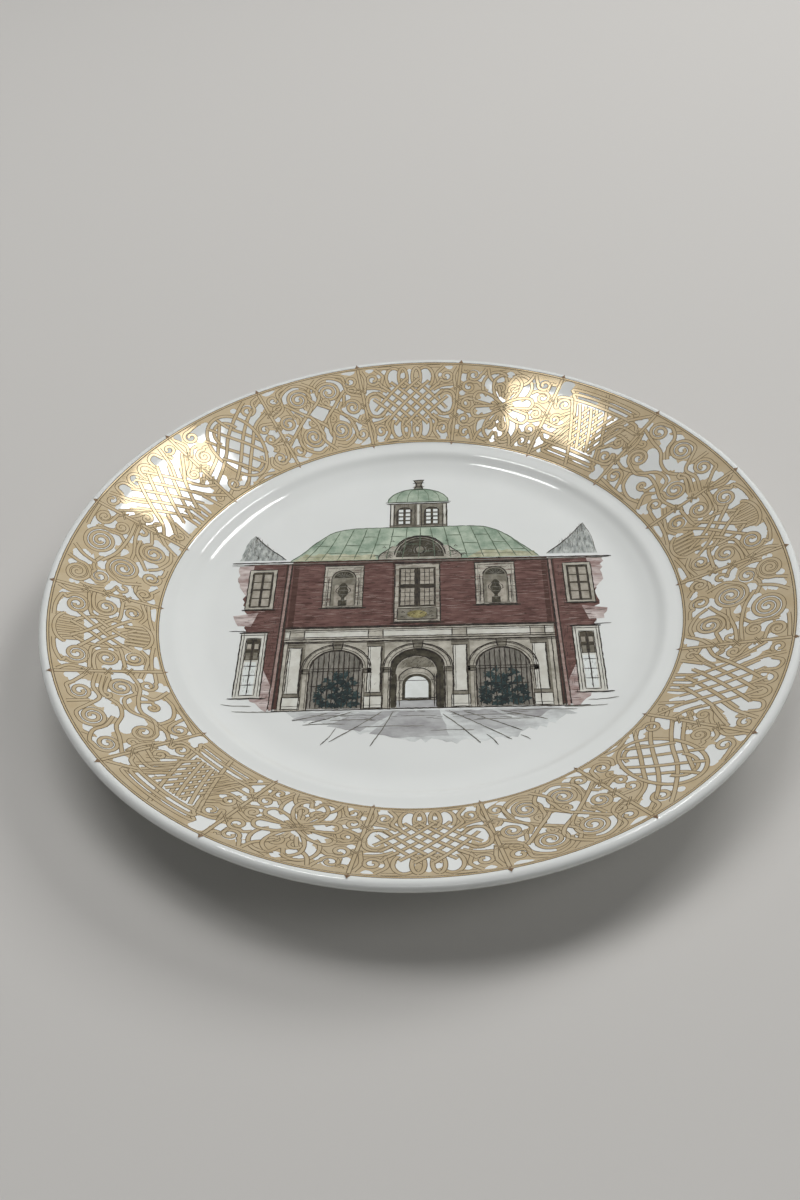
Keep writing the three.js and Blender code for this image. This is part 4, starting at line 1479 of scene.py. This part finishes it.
def draw_lower_window(wing, left, right, bottom, top):
    """A tall window, dark above and blank below, in a wide pale frame."""
    middle, transom = (left + right) / 2, (bottom + top) / 2
    wing.block(left, bottom, right, top, "pale_stone", 2)
    wing.block(left + 2.2, transom + 2.5, right - 2.2, top - 2.6, "dark_glass", 3)
    wing.block(left + 2.4, bottom + 2, right - 2.6, transom + 1.6, "white", 3)
    for near, far in ((left + 2.6, middle - 0.6), (middle + 0.6, right - 2.6)):
        wing.block(near, top - 7.6, far, top - 5.2, "glass", 4)
        wing.block(near, top - 12.6, far, top - 9.4, "stone_shade", 4)
    wing.panes(left + 2.2, bottom + 2, right - 2.2, top - 2.6, 2, 6, 0.42)
    wing.box(left + 2.0, bottom + 1.6, right - 2.0, top - 2.4, 0.34, layer=5)
    wing.level(left - 0.8, right + 0.8, top + 0.4, 0.75, layer=5)
    wing.level(left - 0.4, right + 0.4, top - 0.8, 0.3, layer=5)
    for x, width in ((left, 0.45), (left + 1.0, 0.25), (right - 0.9, 0.25), (right, 0.45)):
        wing.upright(x, bottom + 1, top, width, layer=5)
    wing.level(left - 1.6, right + 2.2, bottom + 0.2, 0.5, layer=5)
    low, high = bottom + 2.5, transom + 1
    wing.hatch(left + 2.4, low, right - 2.6, high, 22, 1.8, 0.2, "pale_ink", lean=1.5)


def draw_tall_window():
    """The middle window, with a plain carved panel below it."""
    window = Print()
    left, right, bottom, top = -9.0, 7.6, -6.4, 24.4
    window.block(left, bottom, right, top, "stone", 1)
    window.box(left, bottom, right, top, 0.5, layer=3)
    window.level(left - 0.9, right + 0.9, top + 0.2, 0.5)
    window.block(left + 1.5, 1.2, right - 1.5, top - 2.2, "dark_glass", 2)
    middle, transom = (left + right) / 2, 12.0
    for x0, x1 in ((left + 2.1, middle - 0.9), (middle + 0.9, right - 2.1)):
        for y0, y1 in ((1.9, transom - 0.9), (transom + 0.9, top - 2.9)):
            window.block(x0, y0, x1, y1, "glass", 3)
            window.panes(x0, y0, x1, y1, 3, 4, 0.3)
            window.box(x0, y0, x1, y1, 0.45, layer=4)
    window.upright(middle, 1.4, top - 2.4, 0.9)
    window.level(left + 1.6, right - 1.6, transom, 0.8)
    window.block(left + 1.2, bottom + 1.2, right - 1.2, 0.4, "stone_shade", 2)
    window.wash(arc(middle, -2.6, 3.6, 1.9, 0, 345), "ochre", 3)
    window.box(left + 1.2, bottom + 1.1, right - 1.2, 0.4, 0.4, layer=4)
    volutes = ((1.4, -2.4, 0.8), (3.2, -3.2, 0.9), (4.9, -1.7, 0.8), (5.4, -4.0, 0.7), (2.4, -1.2, 0.6))
    for side in (-1, 1):
        for x, y, reach in volutes:
            window.volute(middle, side, (x, y), reach, 0.28)
    window.hatch(left + 1.4, bottom + 1.4, right - 1.6, 0, 34, 1.1, 0.22, "ink", lean=0.7)
    window.level(left - 1.2, right + 1.2, bottom - 0.5, 0.7)
    window.finish("tall_window", "stone")


def draw_niche(side):
    """A framed niche with a shell head and a plain urn on a block."""
    niche = Print()
    middle = side * 27.85
    left, right, bottom, top = middle - 7.3, middle + 7.3, 1.7, 24.0
    niche.block(left, bottom, right, top, "stone", 1)
    niche.box(left, bottom, right, top, 0.45, layer=4)
    niche.box(left + 1.1, bottom + 0.6, right - 1.1, top - 1.1, 0.26, "pale_ink", 4)
    niche.level(left - 1.3, right + 1.3, bottom - 0.4, 0.8)
    niche.level(left - 0.8, right + 0.8, top + 0.4, 0.45)
    niche.wash(arch_outline(middle, 4.4, bottom + 0.8, 17.2), "stone_shade", 2)
    niche.block(middle - 3.2, bottom + 1, middle + 3.8, 13.4, "glass", 3)
    niche.wash(arc(middle, 17.4, 3.6, 3.4, 0, 180), "umber", 3)
    niche.ink(arch_outline(middle, 4.4, bottom + 0.8, 17.2)[2:], 0.45, layer=5)
    for lean in range(20, 170, 22):
        angle = math.radians(lean)
        rim = (middle + 3.5 * math.cos(angle), 17.4 + 3.3 * math.sin(angle))
        niche.ink([(middle, 17.4), rim], 0.24, "pale_ink", 5)
    for x in (-5.6, -4.5, 4.5, 5.6):
        niche.upright(middle + x, bottom + 0.8, 17.6, 0.32, layer=5)
    half = [(1.5, 2.6), (1.5, 5.4), (0.7, 5.6), (0.6, 6.6), (1.7, 8.4), (2.0, 10.6), (1.3, 12.2),
            (1.6, 13.0), (0.5, 14.6)]
    urn = [(middle + x, y) for x, y in half] + [(middle - x, y) for x, y in half[::-1]]
    niche.wash(urn, "umber", 4)
    niche.upright(middle - 1.5, 2.6, 5.4, 0.3, layer=5)
    for y, reach in ((5.5, 1.5), (8.4, 1.6), (10.6, 1.9), (12.6, 1.3)):
        niche.level(middle - reach, middle + reach, y, 0.26, "pale_ink", 5)
    for way in (-1, 1):
        handle = [(middle + way * x, y) for x, y in ((1.7, 9.0), (2.9, 10.6), (1.5, 12.4))]
        niche.ink(handle, 0.32, layer=5)
    niche.hatch(left + 1.2, 18.2, right - 1.4, top - 1.3, 26, 1.2, 0.24, "pale_ink", 4, 0.8)
    niche.hatch(left + 1.4, bottom + 1, right - 2, 16.5, 34, 2.2, 0.2, "pale_ink", 4, 1.5)
    niche.finish(f"{side_name(side)}_niche", "stone")


def draw_arcade():
    """The stone ground floor: three arches between pilasters, under an entablature."""
    stone = Print()
    left, right = FACADE
    doors = [arch_outline(x, ARCH_HALF, ARCH_FOOT - 2, ARCH_SPRING) for x in ARCH_CENTRES]
    outline = [(left, ENTABLATURE[1]), (left - 0.6, GROUND_LINE)]
    for door in doors:
        outline += [(door[0][0], GROUND_LINE), *door[:1:-1], (door[1][0], GROUND_LINE)]
    outline += [(right + 1.4, GROUND_LINE), (right, ENTABLATURE[1])]
    stone.wash(outline, "stone")
    frieze = rectangle(left + 0.6, ENTABLATURE[0] + 1.6, right - 0.6, ENTABLATURE[1] - 1.6)
    stone.wash(frieze, "pale_stone", 1)
    mouldings = ((ENTABLATURE[1], 0.6), (-9.7, 0.35), (-10.6, 0.25), (-13.2, 0.3), (-14.2, 0.5),
                 (-15.4, 0.6), (-16.1, 0.25))
    for y, width in mouldings:
        reach = 1.4 if y > -10 else 0.4
        stone.ink([(left - reach, y), (0, y - 0.1), (right + reach, y - 0.1)], width)
    for centre in PILASTERS:
        draw_pilaster(stone, centre)
    for centre in ARCH_CENTRES:
        draw_arch(stone, centre)
    for x in (left + 0.2, left + 1.6, right - 1.4, right + 0.2):
        stone.upright(x, GROUND_LINE, ENTABLATURE[0], 0.35)
    stone.hatch(left + 1, -46, right - 1, -17, 60, 1.6, 0.18, "pale_ink", 1, 1.2)
    stone.ink([(left - 1.6, GROUND_LINE - 0.2), (0, GROUND_LINE + 0.1), (right + 9, GROUND_LINE)], 0.4)
    stone.finish("stone_arcade", "stone")


def draw_pilaster(stone, centre):
    """A shaft with its shaded side, a capital, a plinth and the block in the frieze above it."""
    half = 2.3
    for left, bottom, right, top, name, layer in (
        (-half, -39.6, half, -18, "pale_stone", 1),
        (half, -45, half + 1.1, -16.5, "stone_shade", 1),
        (-half - 0.7, -18.2, half + 0.7, -15.6, "stone_shade", 2),
        (-half - 0.8, ARCH_FOOT, half + 0.8, -40.6, "pale_stone", 2),
        (-half - 0.8, -41.4, half + 0.8, -39.4, "stone_shade", 3),
    ):
        stone.block(centre + left, bottom, centre + right, top, name, layer)
    for x, width in ((-half, 0.35), (half, 0.6), (-half + 0.7, 0.16)):
        stone.upright(centre + x, -39.6, -18, width)
    mouldings = ((-15.8, 3.3, 0.4), (-16.8, 3.0, 0.25), (-18.2, 2.8, 0.4), (-39.6, 2.8, 0.4),
                 (-41.2, 3.3, 0.45), (-46.4, 3.4, 0.4), (-45.2, 3.0, 0.2))
    for y, reach, width in mouldings:
        stone.level(centre - reach, centre + reach, y, width)
    for x in (-3.1, 3.1):
        stone.upright(centre + x, ARCH_FOOT, -41, 0.35)
    for x in (-2.6, 2.6):
        stone.upright(centre + x, -14.0, -9.6, 0.4)
    stone.block(centre - 2.4, -13.4, centre + 2.4, -10.2, "stone", 2)


def draw_arch(stone, centre):
    """Mouldings, joints, keystone and imposts of one arch."""
    near, far = ARCH_HALF + 1.3, ARCH_HALF + 2.6
    for reach, width in ((ARCH_HALF + 0.2, 0.75), (near - 0.1, 0.25), (far, 0.3), (far + 0.5, 0.4)):
        stone.ink(arc(centre, ARCH_SPRING, reach, reach * 0.97, 2, 178), width)
    for degrees in range(15, 170, 15):
        across, up = math.cos(math.radians(degrees)), math.sin(math.radians(degrees))
        joint = [(centre + reach * across, ARCH_SPRING + reach * up) for reach in (near, far)]
        stone.ink(joint, 0.2, "pale_ink")
    foot, head = (1.3, -20), (1.9, -15.6)
    keystone = [(centre - foot[0], foot[1]), (centre + foot[0], foot[1]),
                (centre + head[0], head[1]), (centre - head[0], head[1])]
    stone.wash(keystone, "stone_shade", 2)
    for side in (-1, 1):
        stone.ink([(centre + side * foot[0], foot[1]), (centre + side * head[0], head[1] - 0.2)], 0.4)
    for side in (-1, 1):
        low, high = (centre + x for x in side_span(side, ARCH_HALF + 0.2, ARCH_HALF + 3.2))
        stone.block(low, -30.4, high, -28.4, "stone_shade", 1)
        for y in (-28.4, -29.2, -30.5):
            stone.level(low - 0.3, high + 0.3, y, 0.35)
        for x, width in ((ARCH_HALF + 0.3, 0.6), (ARCH_HALF + 1.0, 0.2), (ARCH_HALF + 3.1, 0.35)):
            stone.upright(centre + side * x, GROUND_LINE, ARCH_SPRING, width)


def draw_gate(side):
    """A barred gate with bushes in front of it."""
    gate = Print()
    centre = ARCH_CENTRES[0] if side < 0 else ARCH_CENTRES[2]
    half = ARCH_HALF
    gate.wash(arch_outline(centre, half, ARCH_FOOT, ARCH_SPRING), "gate")
    for x in np.arange(-half + 1.0, half - 0.4, 1.75):
        top = ARCH_SPRING + math.sqrt(max(0, half ** 2 - x ** 2)) - 0.4
        gate.upright(centre + x, ARCH_FOOT + 0.4, top, 0.42)
        gate.upright(centre + x + 0.75, ARCH_SPRING - 2, top - 0.8, 0.24, "pale_ink")
    for y in (-28.4, -29.6, -36.4):
        gate.level(centre - half + 0.3, centre + half - 0.3, y, 0.4)
    heart = centre + (1.8 if side < 0 else -0.4)
    for layer, name, size, height, leaves in ((3, "bush", 1.05, 16.4, 46), (4, "deep_bush", 0.85, 14.0, 40)):
        for _ in range(leaves):
            angle, reach = hand.uniform(0, math.pi), hand.random() ** 0.6
            x = heart + 8.2 * reach * math.cos(angle)
            x = min(centre + half - 1.6, max(centre - half + 1.6, x))
            y = BUSH_FOOT + height * reach * math.sin(angle)
            leaf = []
            for degrees in range(0, 360, 36):
                point = size * hand.uniform(1.2, 2.1) * (0.5 if degrees % 72 else 1)
                way = math.radians(degrees)
                leaf.append((x + point * math.cos(way), max(ARCH_FOOT, y + point * math.sin(way))))
            gate.wash(leaf, name, layer + 0.15 * hand.random())
    low, high = centre - half, centre + half - 1.4
    gate.hatch(low + 0.6, ARCH_FOOT + 0.6, high, -35, 46, 1.5, 0.26, "deep_bush", 6, 1.0)
    gate.hatch(low + 0.8, ARCH_FOOT + 1, high, -36, 26, 1.2, 0.24, "pale_ink", 6, 0.6)
    name = side_name(side)
    gate.finish(f"{name}_gate_and_bushes", "foliage", f"{name}_foliage_print")


def draw_passage():
    """The middle arch, with a vaulted way through to a lit arch behind."""
    passage = Print()
    centre, half = ARCH_CENTRES[1], ARCH_HALF
    passage.wash(arch_outline(centre, half, ARCH_FOOT, ARCH_SPRING), "umber")
    passage.wash(arch_outline(centre - 0.4, half - 1.9, ARCH_FOOT, ARCH_SPRING - 1.4), "stone", 1)
    passage.wash(arc(centre - 0.4, ARCH_SPRING - 1.2, half - 2.4, half - 2.6, 12, 168), "stone_shade", 2)
    passage.block(centre - 6.9, ARCH_FOOT, centre + 6.6, -43.4, "pavement", 2)
    passage.wash(arch_outline(centre - 0.2, 4.9, -43.4, -36.4), "umber", 3)
    passage.wash(arch_outline(centre - 0.2, 3.9, -42.6, -36.6), "white", 4)
    passage.ink(arc(centre - 0.4, ARCH_SPRING - 1.4, half - 1.9, half - 1.9, 0, 180), 0.4, layer=5)
    passage.ink(arc(centre - 0.4, -35.0, 6.2, 6.4, 5, 175), 0.35, layer=5)
    passage.ink(arc(centre - 0.2, -36.4, 5.6, 5.6, 5, 175), 0.25, "pale_ink", 5)
    for x, width in ((-7.2, 0.5), (-6.0, 0.3), (5.7, 0.3), (6.4, 0.5), (7.6, 0.6)):
        passage.upright(centre + x, ARCH_FOOT + 0.2, ARCH_SPRING - 3, width, layer=5)
    for y in (-43.4, -42.4, -34.6):
        passage.level(centre - 7, centre + 6.6, y, 0.28, layer=5)
    passage.hatch(centre - 5.8, -29.6, centre + 5.2, -23.6, 44, 1.3, 0.24, "ink", 5, 0.9)
    passage.hatch(centre - 6.6, -42, centre - 4.6, -31, 18, 1.4, 0.22, "ink", 5, 1.3)
    passage.hatch(centre + 4.6, -42, centre + 6.4, -31, 18, 1.4, 0.22, "ink", 5, 1.3)
    passage.finish("passage", "umber")


def draw_pavement():
    """Paving in front: a pale wash, darker slabs, joints and courses."""
    pavement = Print()
    top = [(-44, -47.5), (46, -47.4)]
    right = ragged((52, -50.4), (30, -59.5), 1.4) + ragged((30, -59.5), (9, -61.5), 1.2)
    left = ragged((9, -61.5), (-14, -58.0), 1.2) + ragged((-14, -58.0), (-42, -50.0), 1.2)
    pavement.wash([*top, *right, *left], "faint_pavement")
    blocks = [
        [(-36, -48), (-24, -48), (-33, -51.5), (-42, -51)],
        [(-19, -48), (-7, -48), (-19, -56.5), (-30, -54)],
        [(-6, -48), (7, -48), (10, -58.8), (-6, -59.4), (-16, -57.4)],
        [(8.6, -48), (24, -48), (35, -54.4), (25, -56.4), (15, -51.4)],
        [(26, -48), (44, -48), (40, -51.4), (33, -51.8)],
    ]
    for block in blocks:
        edge = []
        for start, end in zip(block, block[1:] + block[:1]):
            edge += ragged(start, end, 0.35, 2.2)
        pavement.wash(edge, "pavement", 1)
    joints = [((-22, -48), (-36, -52.6)), ((-12, -48.2), (-29, -60.6)), ((-8.4, -48.2), (-15.6, -62.6)),
              ((8, -49.6), (20, -62)), ((10, -48.2), (30, -60.8)), ((15, -48.6), (33.6, -57.2)),
              ((27, -48.6), (42, -52.6)), ((-30, -48.4), (-41.6, -51.4)), ((22, -58.6), (25.6, -63)),
              ((33, -59), (36, -61)), ((-27, -55), (-31.6, -61.8))]
    for start, end in joints:
        middle = ((start[0] + end[0]) / 2 + 0.4, (start[1] + end[1]) / 2)
        pavement.ink([start, middle, end], 0.34, "pale_ink")
        pavement.ink([middle, end], 0.22)
    courses = ((-49.6, -33, -12), (-51.6, -29, -14), (-53.2, -38, -24), (-50.4, 14, 34), (-52.2, 18, 38),
               (-54.6, -20, 2), (-50.2, -5, 6), (-48.6, 30, 52), (-56.6, 4, 18))
    for y, near, far in courses:
        pavement.ink([(near, y), ((near + far) / 2, y + 0.2), (far, y)], 0.26, "pale_ink")
    pavement.hatch(-36, -52, 40, -48, 46, 3.0, 0.22, "pale_ink")
    pavement.finish("pavement", "pavement")


def add_picture():
    draw_copper_roof()
    draw_cupola()
    draw_pediment()
    draw_slate_roof(-1, (-63.4, 42.4), -68.0, -50.2)
    draw_slate_roof(1, (62.6, 45.2), 47.6, 66.4)
    draw_brick_front()
    draw_tall_window()
    draw_arcade()
    draw_passage()
    draw_pavement()
    for side in (-1, 1):
        draw_wing(side)
        draw_niche(side)
        draw_gate(side)


# ---- Stage and light -------------------------------------------------------------------------

FLOOR_HALF = 6.0
LAMP_DISTANCE = 2.0

# Soft lamps: bearing in degrees from +Y towards +X, height in degrees, and power in watts.
SOFT_LAMP_SIZE = 0.7
SOFT_LAMPS = [
    ("key_right", 45, 42, 15.0),
    ("key_left", -50, 65, 7.5),
    ("overhead", 0, 72, 9.0),
    ("fill_right", 115, 50, 4.0),
]

# The room that is seen and mirrored, at its left and right ends, and the soft light it casts.
ROOM_LEFT = (0.35, 0.35, 0.35)
ROOM_RIGHT = (0.69, 0.69, 0.68)
SOFT_LIGHT = (0.07, 0.07, 0.07)

# Two long ceiling lamps seen in the gilding and the glaze. Each one gives the bearing and radius
# of the place on the rim where it shows, the bearing and height of the lamp from there, the turn
# of its length from level, and its length and width, all angles in degrees.
STRIPS = {
    "right": ((-60.5, 106), (37, 57.5), 110, (12.5, 2.9)),
    "left": ((28.7, 108), (-50, 70.5), 88, (10.3, 2.9)),
}
GILT_STRIP_RADIANCE = 1.25
GLAZE_STRIP_RADIANCE = 16

# The glaze sees each of the two lamps this much longer and wider.
GLAZE_STRIP_GROWTH = (1.25, 1.7)

# A long low lamp in front, which draws a bright line along the near side of the lip.
FRONT_STRIP = ((180, 129), (178, 38), 0, (50, 4))
FRONT_STRIP_RADIANCE = 7


def add_floor():
    mesh = bpy.data.meshes.new("floor")
    corners = [(x * FLOOR_HALF, y * FLOOR_HALF, 0) for x, y in ((-1, -1), (1, -1), (1, 1), (-1, 1))]
    mesh.from_pydata(corners, [], [(0, 1, 2, 3)])
    mesh.materials.append(new_material("floor", (0.63, 0.615, 0.59), 0.6))
    floor = bpy.data.objects.new("floor", mesh)
    bpy.context.scene.collection.objects.link(floor)


def direction(bearing, height):
    bearing, height = math.radians(bearing), math.radians(height)
    flat = math.cos(height)
    return Vector((math.sin(bearing) * flat, math.cos(bearing) * flat, math.sin(height)))


def new_lamp(name, power):
    data = bpy.data.lights.new(name, "AREA")
    data.energy = power
    lamp = bpy.data.objects.new(name, data)
    bpy.context.scene.collection.objects.link(lamp)
    return lamp


def add_lamp(name, bearing, height, power):
    """A large square lamp that gives soft light and isn't itself reflected."""
    lamp = new_lamp(name, power)
    lamp.data.size = SOFT_LAMP_SIZE
    way = direction(bearing, height)
    lamp.location = way * LAMP_DISTANCE
    lamp.rotation_mode = "QUATERNION"
    lamp.rotation_quaternion = way.to_track_quat("Z", "Y")
    lamp.visible_glossy = False


def add_world():
    """Dim soft light all round; the eye and polished surfaces see a brighter room."""
    world = bpy.data.worlds.new("studio")
    world.use_nodes = True
    nodes, links = world.node_tree.nodes, world.node_tree.links
    place = nodes.new("ShaderNodeTexCoord")
    split = nodes.new("ShaderNodeSeparateXYZ")
    links.new(place.outputs["Generated"], split.inputs["Vector"])
    side = nodes.new("ShaderNodeMapRange")
    side.inputs["From Min"].default_value = -1
    links.new(split.outputs["X"], side.inputs["Value"])
    room = nodes.new("ShaderNodeMix")
    room.data_type = "RGBA"
    room.inputs["A"].default_value = (*ROOM_LEFT, 1)
    room.inputs["B"].default_value = (*ROOM_RIGHT, 1)
    links.new(side.outputs["Result"], room.inputs["Factor"])
    ray = nodes.new("ShaderNodeLightPath")
    blend = nodes.new("ShaderNodeMix")
    blend.data_type = "RGBA"
    blend.inputs["B"].default_value = (*SOFT_LIGHT, 1)
    links.new(room.outputs["Result"], blend.inputs["A"])
    links.new(ray.outputs["Is Diffuse Ray"], blend.inputs["Factor"])
    links.new(blend.outputs["Result"], nodes["Background"].inputs["Color"])
    bpy.context.scene.world = world


def add_strip(name, strip, radiance, receivers, growth=(1, 1)):
    """A long lamp that only the receivers see, and only as a reflection."""
    (spot_bearing, spot_radius), (bearing, height), turn, angles = strip
    toward = direction(bearing, height)
    level = Vector((-toward.y, toward.x, 0)).normalized()
    along = Matrix.Rotation(math.radians(turn), 3, toward) @ level
    length, width = (LAMP_DISTANCE * math.radians(a * share) for a, share in zip(angles, growth))
    lamp = new_lamp(name, radiance * math.pi * length * width)
    lamp.data.shape = "RECTANGLE"
    lamp.data.size, lamp.data.size_y = length, width
    axes = Matrix((along, toward.cross(along), toward)).transposed()
    spot = direction(spot_bearing, 0) * spot_radius
    spot.z = float(face_height(spot_radius))
    lamp.matrix_world = Matrix.Translation(spot * MM + toward * LAMP_DISTANCE) @ axes.to_4x4()
    lamp.light_linking.receiver_collection = receivers
    lamp.visible_diffuse = False


def receiver_group(name, first_words):
    group = bpy.data.collections.new(name)
    for piece in bpy.context.scene.objects:
        if piece.type == "MESH" and piece.name.startswith(first_words):
            group.objects.link(piece)
    return group


def add_strips():
    gilding = receiver_group("gilding", ("lace_", "outer_line", "inner_line", "divider_studs"))
    porcelain = receiver_group("porcelain", ("glaze",))
    for name, strip in STRIPS.items():
        add_strip(f"gilt_strip_{name}", strip, GILT_STRIP_RADIANCE, gilding)
        add_strip(f"glaze_strip_{name}", strip, GLAZE_STRIP_RADIANCE, porcelain, GLAZE_STRIP_GROWTH)
    add_strip("front_strip", FRONT_STRIP, FRONT_STRIP_RADIANCE, porcelain)


# ---- The whole scene -------------------------------------------------------------------------

add_camera()
add_body()
add_glaze("glaze", outer_surface(), "glaze_coat")
add_glaze("foot_glaze", inner_surface(), "foot_recess_glaze")
add_border()
add_picture()
add_floor()
add_world()
for lamp in SOFT_LAMPS:
    add_lamp(*lamp)
add_strips()
bpy.context.scene.view_settings.view_transform = "Standard"
